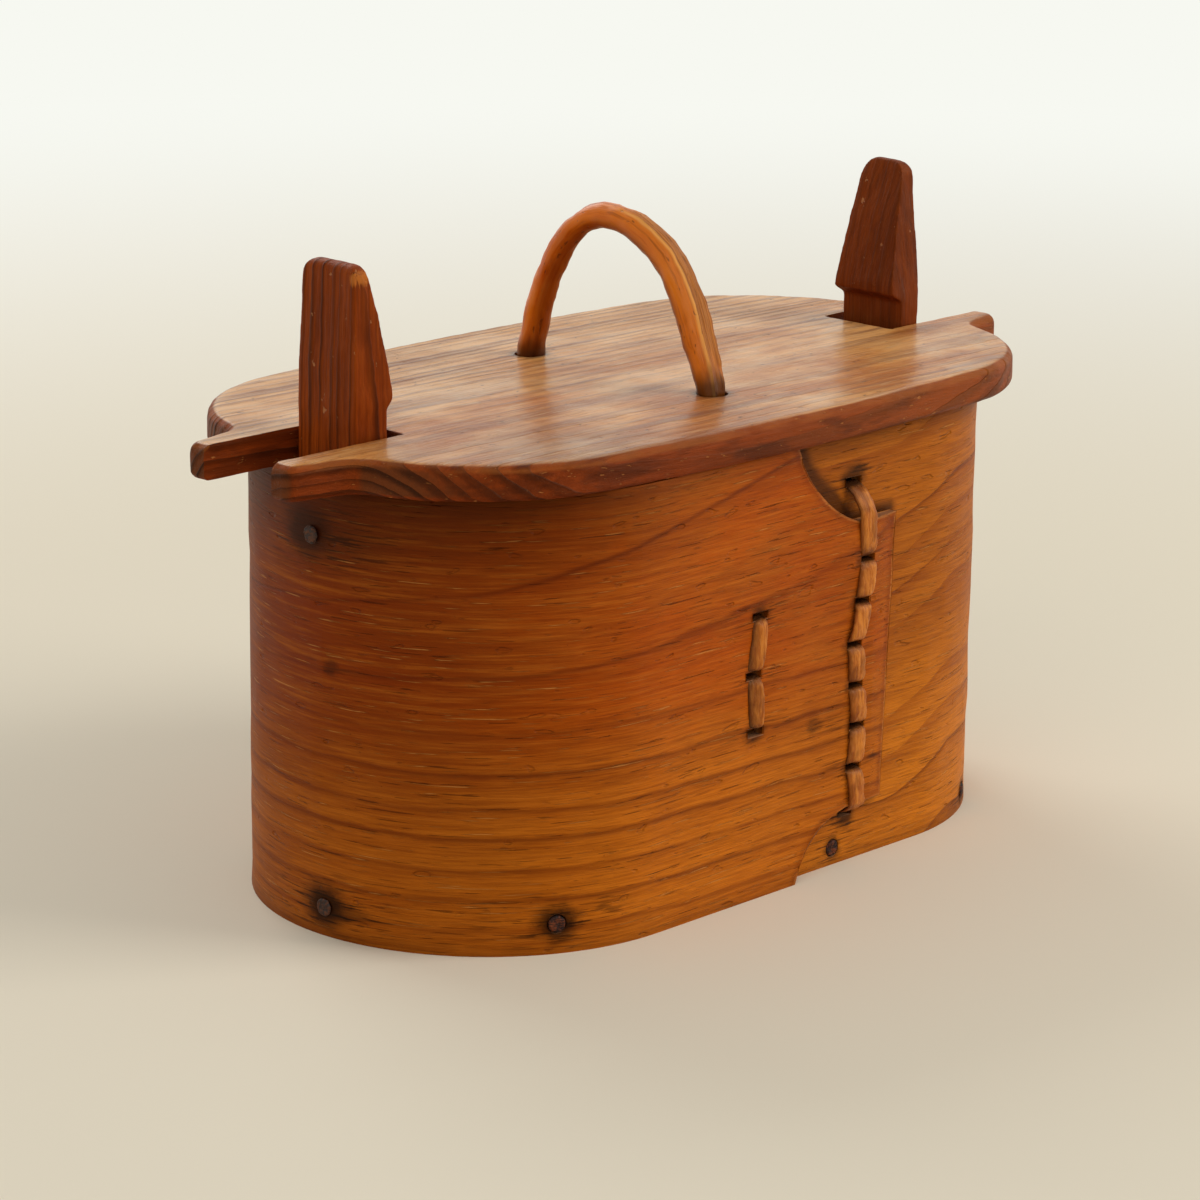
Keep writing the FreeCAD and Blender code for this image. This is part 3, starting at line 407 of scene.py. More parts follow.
def lid_finish():
    wood = Finish("lid_pine_finish")
    x, y, z = wood.parts(wood.place())
    endways, _, up = wood.parts(wood.facing())
    edge = wood.step(up, 0.99, 0.86)
    top = 1.0 - edge
    ridge = lid_rings(wood, x, y, z)
    fibres = wood.clouds(x * 0.05, y * 1.3, z, 4.0, 0.62)
    fine = wood.clouds(x * 0.12, y * 4.5, z * 3.0, 3.0, 0.6)
    patches = wood.clouds(x * 0.02, y * 0.04, 0.0, 4.0, 0.6)
    cloudy = wood.step(patches, 0.38, 0.64)

    # ground of the top, with its lights and darks from the large to the fine
    colour = wood.mix(cloudy, tone(184, 106, 40), tone(236, 166, 88))
    back = wood.step(y, -10.0, 45.0)
    colour = wood.mix(back * 0.45, colour, tone(240, 182, 112))
    colour = wood.mix(wood.step(fibres, 0.45, 0.75) * 0.5, colour, tone(224, 168, 104))
    colour = wood.mix(wood.step(fibres, 0.52, 0.28) * 0.5, colour, tone(118, 56, 16))
    colour = wood.mix(ridge * (back * 0.22 + 0.34), colour, tone(92, 38, 10))
    streak = wood.clouds(x * 0.012, y * 0.16, 4.0, 3.0, 0.6)
    colour = wood.mix(wood.step(streak, 0.52, 0.68) * 0.55, colour, tone(112, 48, 14))

    # signs of use: a darker place at the front left, greyed wood, pits, scratches and dust
    handled = wood.spot(x + (patches - 0.5) * 30.0, y, (-62.0, -44.0), 20.0, 13.0)
    colour = wood.mix(handled * 0.45, colour, tone(96, 48, 24))
    grey = wood.step(patches, 0.50, 0.66) * wood.step(fine, 0.35, 0.6)
    colour = wood.mix(grey * 0.25, colour, tone(190, 166, 140))
    pits = wood.step(wood.clouds(x * 0.3, y * 0.55, 2.0, 3.0, 0.7), 0.64, 0.71) * top
    colour = wood.mix(pits * 0.7, colour, tone(46, 18, 8))
    pale = scratches(wood, x, y, z, 4.0, 0.63) * top
    colour = wood.mix(pale * 0.5, colour, tone(240, 206, 160))
    dust = wood.step(wood.clouds(x * 1.3, y * 1.3, 7.0, 2.0, 0.6), 0.72, 0.76)
    near_foot = wood.spot(x, y, (6.0, -30.0), 22.0, 16.0)
    colour = wood.mix(dust * (near_foot * 0.6 + 0.2), colour, tone(246, 236, 222))
    for foot in (-FOOT_Y, FOOT_Y):
        stain = wood.spot(x - BOW_X + (fine - 0.5) * 4.0, y, (0.0, foot), 4.4, 1.8)
        colour = wood.mix(stain * 0.8, colour, tone(34, 12, 6))

    # edge, its worn upper rounding with a painted highlight, and end grain
    blotch = wood.clouds(x * 0.05, y * 0.05, z * 0.2, 3.0, 0.6)
    dings = wood.step(wood.clouds(x * 0.34, y * 0.5, z * 1.3, 3.0, 0.6), 0.65, 0.70)
    colour = wood.mix(edge, colour, lid_rim(wood, x, ridge, fibres, blotch, dings))
    # a paler line on the upper rounding of the edge: wear, and a painted highlight
    worn_arris_and_highlight = wood.step(up, 0.20, 0.55) * wood.step(up, 0.98, 0.88) * wood.step(blotch, 0.36, 0.56)
    colour = wood.mix(worn_arris_and_highlight * 0.32, colour, tone(190, 108, 46))
    end_grain = wood.step(endways * endways, 0.45, 0.8)
    colour = wood.mix(end_grain * 0.75, colour, wood.mix(ridge, tone(96, 50, 24), tone(38, 14, 6)))

    height = ridge * 1.3 + fibres * 0.7 + fine * 0.5 - pits * 1.2 - dings * 0.4 - pale * 0.5
    rough = 0.30 + fine * 0.14 + patches * 0.12 + edge * 0.10
    gloss = top * (0.34 + cloudy * 0.34)
    return wood.surface(colour, rough, height, 0.42, Specular_IOR_Level=0.18,
                        Specular_Tint=tone(255, 205, 150), Coat_Weight=gloss, Coat_Roughness=0.24)


def post_finish():
    wood = Finish("post_wood_finish")
    x, y, z = wood.parts(wood.place())
    bend = wood.clouds(z * 0.015, y * 0.06, x * 0.06, 2.0) - 0.5
    across = y * 0.95 + x * 0.30 + bend * 2.2
    drift = wood.clouds(across * 0.22, 2.0, 0.0, 1.0) * 1.8
    ring = (across * 0.36 + drift + 40.0).fraction()
    strength = wood.clouds(z * 0.02, across * 0.3, 1.0, 2.0)
    late = wood.step(ring, 0.45, 0.88) * wood.step(ring, 1.0, 0.93)
    left = wood.step(x, 0.0, -1.0)  # 1 on the left post, 0 on the right one
    late = late * (wood.step(strength, 0.30, 0.60) * 0.75 + 0.25) * (left * 0.62 + 0.38)
    fibres = wood.clouds(z * 0.045, across * 1.5, x * 0.8, 4.0, 0.62)
    hairs = wood.clouds(z * 0.12, across * 5.0, x * 4.0, 2.0, 0.5)
    patches = wood.clouds(z * 0.03, y * 0.06, x * 0.06, 3.0, 0.6)
    colour = wood.mix(wood.step(patches, 0.3, 0.7), tone(120, 46, 8), tone(152, 64, 14))
    colour = wood.mix(wood.step(fibres, 0.45, 0.75) * 0.4, colour, tone(164, 80, 24))
    colour = wood.mix(wood.step(fibres, 0.52, 0.28) * 0.45, colour, tone(70, 24, 5))
    colour = wood.mix(wood.step(hairs, 0.6, 0.4) * 0.2, colour, tone(62, 22, 5))
    colour = wood.mix(late * 0.72, colour, tone(50, 15, 3))
    colour = wood.mix((1.0 - left) * 0.35, colour, tone(64, 34, 18))
    dings = wood.step(wood.clouds(x * 0.45, y * 0.45, z * 0.32, 3.0, 0.6), 0.67, 0.72)
    colour = wood.mix(dings * 0.5, colour, tone(196, 134, 86))
    chip = wood.spot(y * 1.3 + (fibres - 0.5) * 5.0, z + (hairs - 0.5) * 4.0, (-9.9, 141.8), 1.3, 0.6)
    colour = wood.mix(chip * left * 0.6, colour, tone(206, 122, 50))
    outer_face = wood.step(x, -99.0, -101.0)
    split = wood.spot(y, z + (fibres - 0.5) * 2.0, (9.0, 132.8), 1.1, 0.4) * outer_face
    colour = wood.mix(split * 0.9, colour, tone(220, 150, 82))
    height = late * 0.5 + fibres * 0.6 + hairs * 0.15 - dings * 0.5
    return wood.surface(colour, 0.34 + fibres * 0.18, height, 0.26, Specular_IOR_Level=0.12,
                        Specular_Tint=tone(255, 195, 130))


def handle_finish():
    wood = Finish("bent_root_finish")
    _, y, z = wood.parts(wood.place())
    along, side, out = wood.parts(wood.fibre())
    fibres = wood.clouds(along * 0.05, side * 0.9, out * 0.9, 4.0, 0.62)
    patches = wood.clouds(along * 0.05, side * 0.2, out * 0.2, 3.0, 0.6)
    front = wood.step(y, 12.0, -20.0)
    colour = wood.mix(wood.step(patches, 0.3, 0.7), tone(196, 80, 5), tone(226, 116, 16))
    colour = wood.mix(front * 0.5, colour, tone(240, 142, 46))
    colour = wood.mix(wood.step(fibres, 0.45, 0.75) * 0.45, colour, tone(216, 132, 54))
    colour = wood.mix(wood.step(fibres, 0.52, 0.30) * 0.45, colour, tone(104, 38, 6))
    # painted shade on the inner side of the arch, under the bow
    colour = wood.mix(wood.step(out, 0.6, -2.8) * 0.72, colour, tone(86, 28, 3))
    # the split side, which looks out and 15 degrees to the right
    tilt = math.radians(15)
    flat = out * math.cos(tilt) + side * math.sin(tilt)
    split = wood.step(flat + (fibres - 0.5) * 0.5, 1.9, 2.5) * wood.step(side, -2.1, -1.5)
    split = split * wood.step(along, 60.0, 72.0)
    grooves = wood.clouds(along * 0.05, side * 2.2, 0.0, 3.0, 0.65)
    raw = wood.mix(wood.step(grooves, 0.35, 0.65), tone(84, 42, 14), tone(186, 126, 64))
    colour = wood.mix(split * 0.7, colour, raw)
    # painted highlight: a thin pale line along the ridge beside the split side
    ridge = wood.step(side, -2.6, -2.0) * wood.step(side, -1.4, -1.8) * wood.step(flat, 1.2, 2.0)
    ridge = ridge * wood.step(along, 58.0, 70.0)
    colour = wood.mix(ridge * 0.7, colour, tone(246, 176, 92))
    knots = wood.step(wood.clouds(along * 0.30, side * 0.9, out * 0.9, 2.0, 0.5), 0.66, 0.72)
    colour = wood.mix(knots * 0.5, colour, tone(58, 20, 6))
    foot = wood.step(z + (patches - 0.5) * 10.0, LID_TOP + 6.5, LID_TOP + 0.5)
    colour = wood.mix(foot * 0.85, colour, tone(38, 12, 4))
    height = fibres * 0.6 + patches * 0.6 - knots * 0.5 + split * grooves * 1.6
    return wood.surface(colour, 0.24 + fibres * 0.14 + split * 0.18, height, 0.25,
                        Specular_IOR_Level=0.22, Specular_Tint=tone(255, 190, 110),
                        Coat_Weight=(1.0 - split) * 0.16, Coat_Roughness=0.12)


def root_finish():
    root = Finish("split_root_finish")
    along, side, out = root.parts(root.fibre())
    fibres = root.clouds(along * 0.20, side * 1.4, out * 1.4, 4.0, 0.6)
    hairs = root.clouds(along * 0.5, side * 5.0, out * 5.0, 2.0, 0.5)
    colour = root.mix(root.step(fibres, 0.32, 0.68), tone(168, 84, 22), tone(212, 128, 48))
    colour = root.mix(root.step(hairs, 0.55, 0.75) * 0.25, colour, tone(230, 166, 98))
    blotch = root.clouds(along * 0.12, side * 0.3, out * 0.3, 3.0)
    colour = root.mix(root.step(blotch, 0.50, 0.64) * 0.5, colour, tone(104, 42, 10))
    # painted shade on the ribbon's low edges
    colour = root.mix(root.step(out, 1.25, 0.6) * 0.5, colour, tone(92, 38, 10))
    # painted shade where the root sinks into its slits
    sunk_shade = root.step(out, 0.8, -0.5)
    colour = root.mix(sunk_shade * 0.9, colour, tone(30, 11, 4))
    return root.surface(colour, 0.34 + fibres * 0.16, fibres + hairs * 0.4, 0.25,
                        Specular_IOR_Level=0.35, Specular_Tint=tone(255, 215, 165))


def board_finish():
    wood = Finish("board_pine_finish")
    x, y, z = wood.parts(wood.place())
    bend = wood.clouds(x * 0.008, y * 0.03, 0.0, 2.0) - 0.5
    across = y + bend * 9.0
    ring = (across * 0.16 + 20.0).fraction()
    late = wood.step(ring, 0.4, 0.9) * wood.step(ring, 1.0, 0.93)
    fibres = wood.clouds(x * 0.04, across * 1.3, z, 4.0, 0.6)
    colour = wood.mix(fibres, tone(158, 104, 60), tone(196, 146, 96))
    colour = wood.mix(late * 0.55, colour, tone(120, 66, 32))
    return wood.surface(colour, 0.55 + fibres * 0.15, fibres + late, 0.2)


def peg_finish():
    wood = Finish("peg_wood_finish")
    x, y, z = wood.parts(wood.place())
    spots = wood.clouds(x * 0.9, y * 0.9, z * 0.9, 4.0, 0.6)
    cracks = wood.step(wood.clouds(x * 0.5, y * 0.5, z * 2.6, 3.0, 0.6), 0.52, 0.60)
    colour = wood.mix(wood.step(spots, 0.4, 0.65), tone(44, 15, 5), tone(112, 52, 20))
    colour = wood.mix(cracks * 0.8, colour, tone(20, 7, 3))
    return wood.surface(colour, 0.5 + spots * 0.2, spots - cracks, 0.4, Specular_IOR_Level=0.25)


def iron_finish():
    iron = Finish("iron_finish")
    spots = iron.noise(iron.place(), 4.0, 0.65, 1.1)
    rust = iron.step(spots, 0.42, 0.62)
    colour = iron.mix(rust, tone(38, 20, 13), tone(92, 52, 30))
    return iron.surface(colour, 0.5 + rust * 0.25, spots, 0.4, Specular_IOR_Level=0.3)


finishes = {
    "band_pine": band_finish(), "lid_pine": lid_finish(), "post_wood": post_finish(),
    "bent_root": handle_finish(), "root": root_finish(), "board_pine": board_finish(),
    "peg_wood": peg_finish(), "iron": iron_finish(),
}


# Helpers for the pieces
def alone(piece):
    bpy.ops.object.select_all(action="DESELECT")
    piece.select_set(True)
    bpy.context.view_layer.objects.active = piece


def edit(piece):
    alone(piece)
    bpy.ops.object.mode_set(mode="EDIT")
    bpy.ops.mesh.select_all(action="SELECT")


def cut(direction, distance):
    """Cuts every face of the piece in edit mode by a plane, so far out in this direction."""
    bpy.ops.mesh.select_all(action="SELECT")
    bpy.ops.mesh.bisect(plane_co=Vector(direction) * distance, plane_no=direction)


def done(piece, angle):
    """Leaves edit mode and shades the piece smooth, but for edges sharper than the angle."""
    bpy.ops.object.mode_set(mode="OBJECT")
    alone(piece)
    bpy.ops.object.shade_smooth_by_angle(angle=math.radians(angle))


def modify(piece, kind, **settings):
    alone(piece)
    modifier = piece.modifiers.new(kind.title(), kind)
    for key, value in settings.items():
        setattr(modifier, key, value)
    bpy.ops.object.modifier_apply(modifier=modifier.name)


def from_node(node, name):
    """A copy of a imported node's mesh as one closed skin, for wear that the solid leaves out."""
    piece = bpy.data.objects.new(name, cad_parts[node].data.copy())
    bpy.context.scene.collection.objects.link(piece)
    edit(piece)
    bpy.ops.mesh.remove_doubles(threshold=0.01 * MM)
    bpy.ops.mesh.customdata_custom_splitnormals_clear()
    bpy.ops.object.mode_set(mode="OBJECT")
    return piece


def hand_over(piece, node, body, slot):
    """Gives the piece its finish and its body, and lets it stand for its node."""
    piece.data.materials.clear()
    piece.data.materials.append(finishes[slot])
    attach(piece, body)
    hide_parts(node)


def set_fibre(piece, place):
    """Stores each point's place in the wood, which place() gives from the point, in metres."""
    mesh = piece.data
    layer = mesh.attributes.new("fibre", "FLOAT_VECTOR", "POINT")
    for vertex, item in zip(mesh.vertices, layer.data):
        item.vector = place(vertex.co)


def pick(piece, wanted):
    """Selects the points for which wanted(x, y, z) holds, in millimetres, and stays in edit mode."""
    if piece.mode == "OBJECT":
        edit(piece)
    bpy.ops.mesh.select_mode(type="VERT")
    bpy.ops.mesh.select_all(action="DESELECT")
    bpy.ops.object.mode_set(mode="OBJECT")
    for vertex in piece.data.vertices:
        vertex.select = bool(wanted(*(vertex.co / MM)))
    bpy.ops.object.mode_set(mode="EDIT")


def roughen(piece, depth, grain, middle=1.0, group=""):
    """Uneven skin, as far as depth deep; a middle of 1 only takes wood away."""
    clouds = bpy.data.textures.new(piece.name + "_uneven", "CLOUDS")
    clouds.noise_scale = grain
    modify(piece, "DISPLACE", texture=clouds, texture_coords="LOCAL", strength=depth,
           mid_level=middle, vertex_group=group)


def worn(piece, voxel, passes):
    """Remakes the skin in even small faces and rubs its edges down."""
    alone(piece)
    piece.data.remesh_voxel_size = voxel
    bpy.ops.object.voxel_remesh()
    modify(piece, "SMOOTH", factor=0.5, iterations=passes)


# Side band: ends of its straight stretches, middle of its left turn, radii of both turns
STRAIGHT_LEFT, STRAIGHT_RIGHT = -44.2 * MM, 45.9 * MM
LEFT_Y = -1.7 * MM
RIGHT_R, LEFT_R = 50.4 * MM, 52.1 * MM
LAP_Y, WALL = -53.8 * MM, 3.2 * MM  # face of the lapped end, thickness of the band
LAP_FROM = -50.5 * MM  # what lies further out at the front belongs to the lapped end
BACK_START, LEFT_START = 204.2 * MM, 294.3 * MM  # runs at which the back and the left turn start


def along_strip(co):
    """Run along the strip, height, and depth, above 0 on the outside and below 0 on the inside.

    The run is 0 in front of the middle and grows to the right, round the back and the left
    end, and on to the end of the tongue."""
    x, y, z = co
    if x > STRAIGHT_RIGHT:
        run = STRAIGHT_RIGHT + RIGHT_R * math.atan2(x - STRAIGHT_RIGHT, -y)
        out = math.hypot(x - STRAIGHT_RIGHT, y) - RIGHT_R
    elif x < STRAIGHT_LEFT:
        run = LEFT_START + LEFT_R * math.atan2(STRAIGHT_LEFT - x, y - LEFT_Y)
        out = math.hypot(x - STRAIGHT_LEFT, y - LEFT_Y) - LEFT_R
    elif y > 0:
        run, out = BACK_START + STRAIGHT_RIGHT - x, y - RIGHT_R
    elif y < LAP_FROM:
        run, out = x + ONCE_ROUND * MM, LAP_Y - y
    else:
        run, out = x, -y - RIGHT_R
    return (run, z, out + WALL / 2)


band = from_node("side_band", "band")
edit(band)
bpy.ops.mesh.dissolve_limited(angle_limit=math.radians(0.6))
bpy.ops.object.mode_set(mode="OBJECT")
modify(band, "BEVEL", width=0.45 * MM, segments=2, limit_method="ANGLE",
       angle_limit=math.radians(35))
# a grid of cuts 5 mm apart lets the walls be uneven; rim and foot stay true
edit(band)
for height in range(5, 100, 5):
    cut((0, 0, 1), height * MM)
for place in range(-90, 91, 5):
    cut((1, 0, 0), place * MM)
bpy.ops.mesh.select_all(action="SELECT")
bpy.ops.mesh.quads_convert_to_tris()
bpy.ops.object.mode_set(mode="OBJECT")
SPARED = 3.0  # height at the rim and at the foot that stays even, in millimetres
walls = [vertex.index for vertex in band.data.vertices
         if SPARED * MM < vertex.co.z < (RIM - SPARED) * MM]
band.vertex_groups.new(name="walls").add(walls, 1.0, "REPLACE")
roughen(band, 0.9 * MM, 15 * MM, 0.7, "walls")
done(band, 30)
set_fibre(band, along_strip)
hand_over(band, "side_band", "box", "band_pine")

# Lid
lid = from_node("lid_board", "lid")
worn(lid, 0.7 * MM, 2)
roughen(lid, 0.30 * MM, 7 * MM)
done(lid, 60)
hand_over(lid, "lid_board", "lid", "lid_pine")

# Posts
for node in ("post_left", "post_right"):
    post = from_node(node, node + "_worn")
    worn(post, 0.45 * MM, 9)
    roughen(post, 0.45 * MM, 6 * MM)
    done(post, 60)
    hand_over(post, node, node, "post_wood")

# Pegs and nails
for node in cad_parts:
    if "nail" in node or "peg" in node:
        peg = from_node(node, node + "_worn")
        worn(peg, 0.25 * MM, 1)
        roughen(peg, 0.5 * MM, 1.6 * MM)
        done(peg, 60)
        hand_over(peg, node, "box", "iron" if "nail" in node else "peg_wood")

# Bow handle from its back foot to its front foot: places across the lid, heights and radii
BOW = (
    (FOOT_Y, 93.6, 3.3), (FOOT_Y, 99.0, 3.3), (28.1, 104.0, 3.3), (27.9, 107.5, 3.4),
    (27.2, 111.0, 3.35), (26.0, 115.5, 3.3), (24.6, 121.0, 3.25), (22.6, 126.5, 3.25),
    (20.3, 131.0, 3.15), (17.2, 135.4, 3.15), (13.6, 139.2, 3.1), (9.6, 141.8, 3.05),
    (5.0, 143.1, 3.1), (0.2, 143.0, 3.3), (-4.8, 141.8, 3.6), (-9.9, 139.5, 3.9),
    (-14.4, 136.1, 4.05), (-18.2, 131.6, 4.1), (-21.2, 126.1, 4.1), (-23.3, 120.8, 4.05),
    (-25.3, 115.8, 3.85), (-27.1, 111.6, 3.6), (-28.0, 107.8, 3.4), (-FOOT_Y, 104.0, 3.3),
    (-FOOT_Y, 99.0, 3.3), (-FOOT_Y, 93.6, 3.3),
)


def bow_handle():
    """The bent root, drawn out ring by ring from one foot to the other."""
    y, z, radius = BOW[0]
    bpy.ops.mesh.primitive_circle_add(vertices=12, radius=radius * MM, fill_type="NGON",
                                      location=(BOW_X * MM, y * MM, z * MM))
    bpy.ops.object.transform_apply(location=True, rotation=True, scale=True)
    piece = bpy.context.object
    piece.name = "handle_bent_root"
    edit(piece)
    heading = 0.0
    for here, there, after in zip(BOW, BOW[1:], BOW[2:] + BOW[-1:]):
        wanted = math.atan2(here[0] - after[0], after[1] - here[1])
        bpy.ops.mesh.extrude_region_move(TRANSFORM_OT_translate={
            "value": (0, (there[0] - here[0]) * MM, (there[1] - here[1]) * MM)})
        centre = (BOW_X * MM, there[0] * MM, there[1] * MM)
        bpy.ops.transform.rotate(value=-(wanted - heading), orient_axis="X", center_override=centre)
        scale = there[2] / here[2]
        bpy.ops.transform.resize(value=(scale, scale, scale), center_override=centre)
        heading = wanted
    return piece


def along_bow(co):
    """Run along the bow from its back foot, place to the right of it, and place outwards."""
    run, best = 0.0, None
    y, z = co.y / MM, co.z / MM
    for (ay, az, _), (by, bz, _) in zip(BOW, BOW[1:]):
        length = math.hypot(by - ay, bz - az)
        share = ((y - ay) * (by - ay) + (z - az) * (bz - az)) / length ** 2
        share = min(max(share, 0.0), 1.0)
        away = math.hypot(y - ay - (by - ay) * share, z - az - (bz - az) * share)
        if best is None or away < best[0]:
            out = ((y - ay) * (bz - az) - (z - az) * (by - ay)) / length
            best = (away, run + length * share, out)
        run += length
    return (best[1] * MM, co.x - BOW_X * MM, best[2] * MM)


def pick_on_bow(piece, wanted):
    """Selects points by their run along the bow and their angle from its outer side."""
    def chosen(x, y, z):
        run, side, out = along_bow(Vector((x, y, z)) * MM)
        return wanted(run / MM, math.degrees(math.atan2(side, out)))
    pick(piece, chosen)


handle = bow_handle()
bpy.ops.mesh.select_all(action="SELECT")
bpy.ops.mesh.normals_make_consistent(inside=False)
# the split side of the root sinks in from the top of the bow down its front leg
for start, depth in ((62, 0.45), (72, 0.35), (82, 0.25)):
    pick_on_bow(handle, lambda run, angle: run > start and -10 < angle < 40)
    bpy.ops.transform.shrink_fatten(value=-depth * MM)
# it keeps a sharp edge on either hand
for corner in (-30, 60):
    pick_on_bow(handle, lambda run, angle: run > 66 and abs(angle - corner) < 10)
    bpy.ops.transform.edge_crease(value=0.8)
bpy.ops.object.mode_set(mode="OBJECT")
modify(handle, "SUBSURF", levels=2, render_levels=2)
roughen(handle, 0.9 * MM, 6 * MM, 0.6)
roughen(handle, 0.35 * MM, 1.8 * MM, 0.6)
done(handle, 80)
set_fibre(handle, along_bow)
hand_over(handle, "handle_bow", "lid", "bent_root")

# Root lacing: places of the slits along the band and their heights, in millimetres
SEAM_HOLES = ((21.0, 88.2), (22.4, 71.1), (21.2, 61.6), (18.8, 52.1), (19.4, 42.5), (20.4, 33.0),
              (19.4, 23.5), (20.8, 11.4))
TIP_HOLES = ((-12.9, 64.6), (-14.6, 51.6), (-13.6, 38.5))
BAND_FACE, LAP_STEP = 50.4, 3.4  # outer face of the band, and its rise on to the lapped end
TOP_RISE, FOOT_RISE = 5.5, 2.8  # heights over which it rises, below the top and above the foot
WALL_MIDDLE, INSIDE = 49.0, 47.2  # about the middle of the wall, and its inner face
RIBBON_WIDTH, RIBBON_THICKNESS = 4.7, 1.0
RIBBON_CUT, STITCH_GAP = 1.3, 0.5  # cuts beside the ribbon's middle, room between two stitches

# How far the ribbon sinks into the wood, by place along it: 0 at its middle, 0.5 at an end
SINKS = {0.0: -0.15, 0.15: -0.1, 0.30: 0.0, 0.40: 0.3, 0.46: 1.1, 0.5: 2.9}
STITCH_LEVELS = sorted({sign * level for level in SINKS for sign in (1, -1)})


def stitch_form():
    """One flat ribbon, 1 metre long along Z until it's laid, bowed out and turned in at its ends."""
    bpy.ops.mesh.primitive_cube_add(size=1.0, location=(0, 0, 0))
    piece = bpy.context.object
    piece.name = "stitch"
    edit(piece)
    bpy.ops.transform.resize(value=(RIBBON_WIDTH * MM, RIBBON_THICKNESS * MM, 1.0))
    for level in STITCH_LEVELS[1:-1]:
        cut((0, 0, 1), level)
    for x in (-RIBBON_CUT, RIBBON_CUT):
        cut((1, 0, 0), x * MM)
    for level in STITCH_LEVELS:
        pick(piece, lambda x, y, z: abs(z * MM - level) < 1e-4)
        bpy.ops.transform.translate(value=(0, SINKS[abs(level)] * MM, 0))
    pick(piece, lambda x, y, z: abs(x) > RIBBON_CUT + 0.7)
    bpy.ops.transform.translate(value=(0, 0.35 * MM, 0))
    bpy.ops.object.mode_set(mode="OBJECT")
    return piece


def lap_face(height):
    """Place of the wood's outer face at a height on the long seam, where the lap has its arcs."""
    top, foot = SEAM_HOLES[0][1], SEAM_HOLES[-1][1]
    from_top = min(max((top - height) / TOP_RISE, 0.0), 1.0)
    from_foot = min(max((height - foot) / FOOT_RISE, 0.0), 1.0)
    return BAND_FACE + LAP_STEP * (from_top * from_foot)


def lay_stitch(form, low, high, face, lift, tilt, width):
    """A copy of the stitch between two slits, on wood whose face is where face(height) says."""
    piece = form.copy()
    piece.data = form.data.copy()
    bpy.context.scene.collection.objects.link(piece)
    edit(piece)
    length = (high[1] - low[1] - STITCH_GAP) * MM
    bpy.ops.transform.resize(value=(width, 1.0, length), center_override=(0, 0, 0))
    middle = (low[1] + high[1]) / 2 * MM
    bpy.ops.transform.translate(value=(0, 0, middle))
    for level in STITCH_LEVELS:
        share = level + 0.5
        height = (middle + level * length) / MM
        pick(piece, lambda x, y, z: abs(z - height) < 0.01)
        bpy.ops.transform.translate(value=(
            (low[0] + (high[0] - low[0]) * share) * MM, (-face(height) - lift) * MM, 0))
    # the left edge turns by the tilt
    pick(piece, lambda x, y, z: x < (low[0] + high[0]) / 2 - 0.6)
    bpy.ops.transform.translate(value=(0, tilt * MM, 0))
    bpy.ops.object.mode_set(mode="OBJECT")
    return piece


def lace_row(name, holes, width, twist):
    """A row of stitches from slit to slit, each with its run along the band's inside."""
    form = stitch_form()
    laid = []
    for number, (high, low) in enumerate(zip(holes, holes[1:])):
        wander = noise.noise(Vector((number * 1.7, len(holes), 0.3)))
        laid.append(lay_stitch(form, low, high, lap_face, 0.9, twist + wander * 0.5, width))
        back = lay_stitch(form, low, high, lambda height: 0.0, 0.7, 0.0, width)
        edit(back)
        bpy.ops.transform.resize(value=(1, -1, 1), center_override=(0, 0, 0))
        bpy.ops.transform.translate(value=(0, -INSIDE * MM, 0))
        bpy.ops.mesh.normals_make_consistent(inside=False)
        bpy.ops.object.mode_set(mode="OBJECT")
        laid.append(back)
    bpy.data.objects.remove(form)
    alone(laid[0])
    for piece in laid:
        piece.select_set(True)
    bpy.ops.object.join()
    row = bpy.context.object
    row.name = name
    modify(row, "SUBSURF", levels=2, render_levels=2)
    roughen(row, 0.5 * MM, 2.0 * MM, 0.5)
    done(row, 70)
    return row


def root_place(co):
    """Place along the root, across it, and how far it stands out from the wood beside it."""
    outside = co.y < -WALL_MIDDLE * MM
    out = -co.y / MM - lap_face(co.z / MM) if outside else co.y / MM + INSIDE
    return (co.z, co.x, out * MM)


for name, holes, width, twist in (
        ("seam_lacing", SEAM_HOLES, 1.03, 0.3), ("tip_lacing", TIP_HOLES, 0.84, 0.9)):
    row = lace_row(name + "_root", holes, width, twist)
    set_fibre(row, root_place)
    hand_over(row, name, "box", "root")

# Finishes of the nodes that keep their own shape
kept = {"board_pine": ["bottom_board"], "peg_wood": ["handle_pin_front", "handle_pin_back"]}
for slot, names in kept.items():
    for node in names:
        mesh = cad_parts[node].data
        mesh.materials.clear()
        mesh.materials.append(finishes[slot])

# Floor, light and camera
bpy.ops.object.select_all(action="DESELECT")
bpy.ops.mesh.primitive_plane_add(size=8.0, location=(0, 0, 0))
floor = bpy.context.object
floor.name = "floor"
PALE = tone(247, 248, 241)


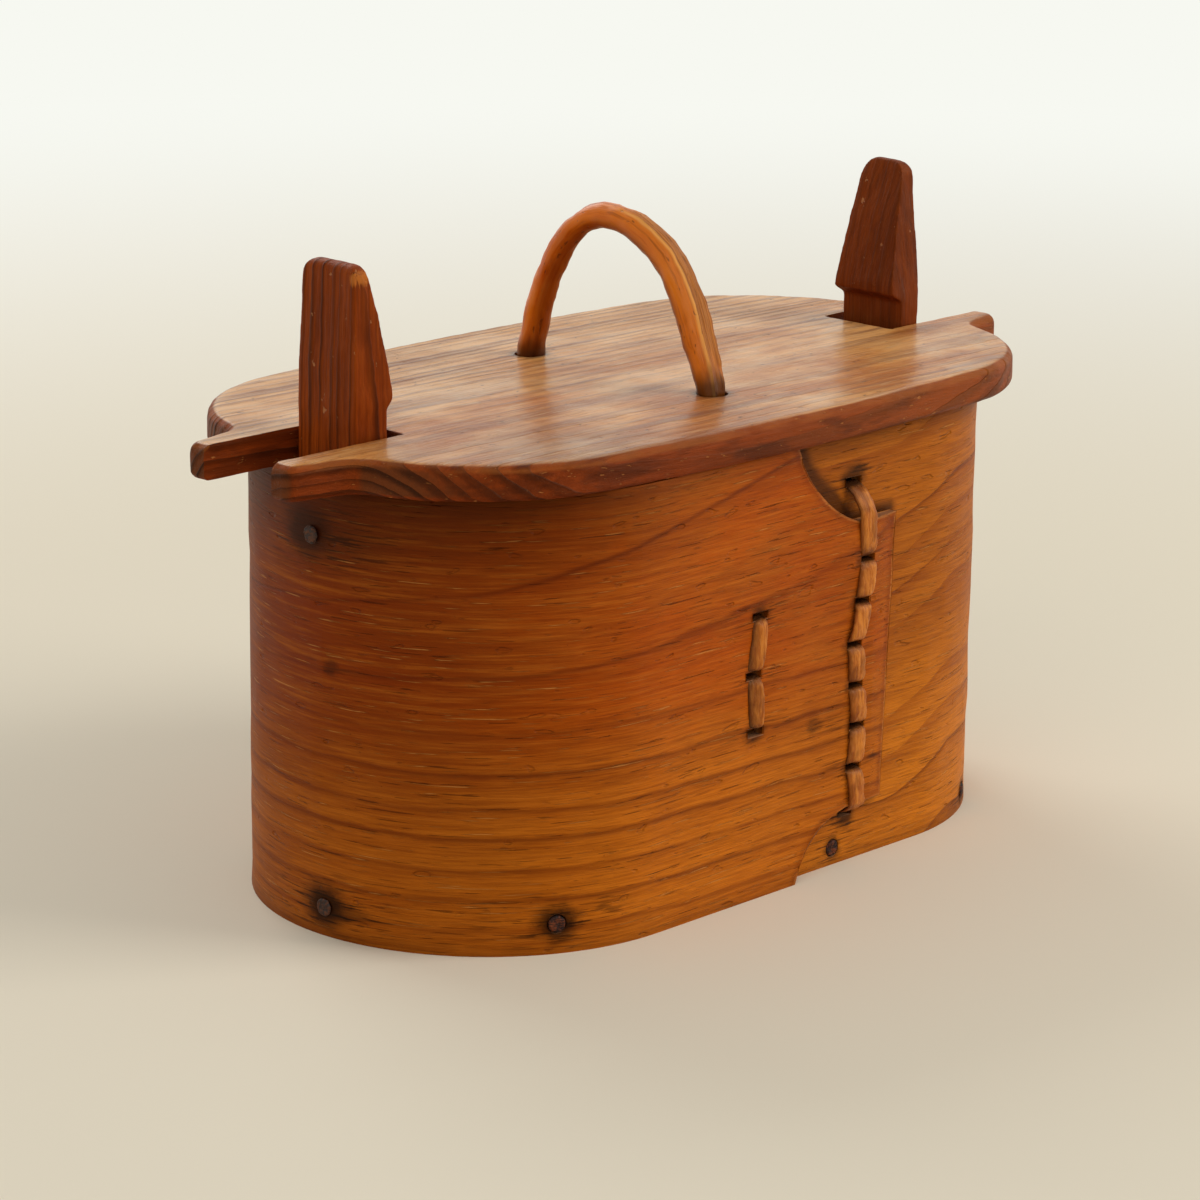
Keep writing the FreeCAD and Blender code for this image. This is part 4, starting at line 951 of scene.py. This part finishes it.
def seen_straight(finish):
    """1 for what is seen, mirrored or seen through, 0 for the light that falls on things."""
    camera_ray, glossy, through = finish.add("ShaderNodeLightPath", output=(
        "Is Camera Ray", "Is Glossy Ray", "Is Transmission Ray"))
    return camera_ray.maths("MAXIMUM", camera_ray.maths("MAXIMUM", camera_ray, glossy), through)


plain = Finish("pale_floor")
near = plain.add("ShaderNodeBsdfPrincipled", {}, {"Base Color": tone(232, 222, 200), "Roughness": 0.9})
far = plain.add("ShaderNodeEmission", {}, [PALE, 1.0])
fade = plain.step(plain.length(plain.place()), 250.0, 1100.0) * seen_straight(plain)
plain.add("ShaderNodeOutputMaterial", {}, [plain.add("ShaderNodeMixShader", {}, [fade, near, far])],
          None)
floor.data.materials.append(plain.material)

world = bpy.data.worlds.new("pale_room")
bpy.context.scene.world = world
world.use_nodes = True
room = Finish.of(world.node_tree)
fill = room.add("ShaderNodeBackground", {}, [tone(240, 240, 238), 0.45])
backdrop = room.add("ShaderNodeBackground", {}, [PALE, 1.0])
room.add("ShaderNodeOutputWorld", {}, [
    room.add("ShaderNodeMixShader", {}, [seen_straight(room), fill, backdrop])], None)


def lamp(name, place, aim, width, power, colour=(1, 1, 1)):
    data = bpy.data.lights.new(name, "AREA")
    data.size, data.energy, data.color = width, power, colour
    item = bpy.data.objects.new(name, data)
    item.location = place
    item.rotation_euler = (Vector(aim) - Vector(place)).to_track_quat("-Z", "Y").to_euler()
    bpy.context.scene.collection.objects.link(item)


lamp("window", (0.75, -0.95, 0.85), (0, 0, 0.06), 0.7, 9.5, (1.0, 0.98, 0.95))
lamp("fill", (-1.0, -0.45, 0.7), (0, 0, 0.06), 0.9, 3.0)
lamp("back", (0.2, 1.1, 0.9), (0, 0, 0.08), 0.8, 6.0)

camera_data = bpy.data.cameras.new("camera")
camera_data.sensor_fit = "HORIZONTAL"
camera_data.sensor_width = 36.0
camera_data.lens = 126.69  # lens, place and turn as fitted to the box's outlines
camera = bpy.data.objects.new("camera", camera_data)
camera.location = (-0.67074, -0.63472, 0.31043)
camera.rotation_euler = (math.radians(74.5303), math.radians(-0.6775), math.radians(-46.0986))
bpy.context.scene.collection.objects.link(camera)
bpy.context.scene.camera = camera

view = bpy.context.scene.view_settings
view.view_transform = "Standard"
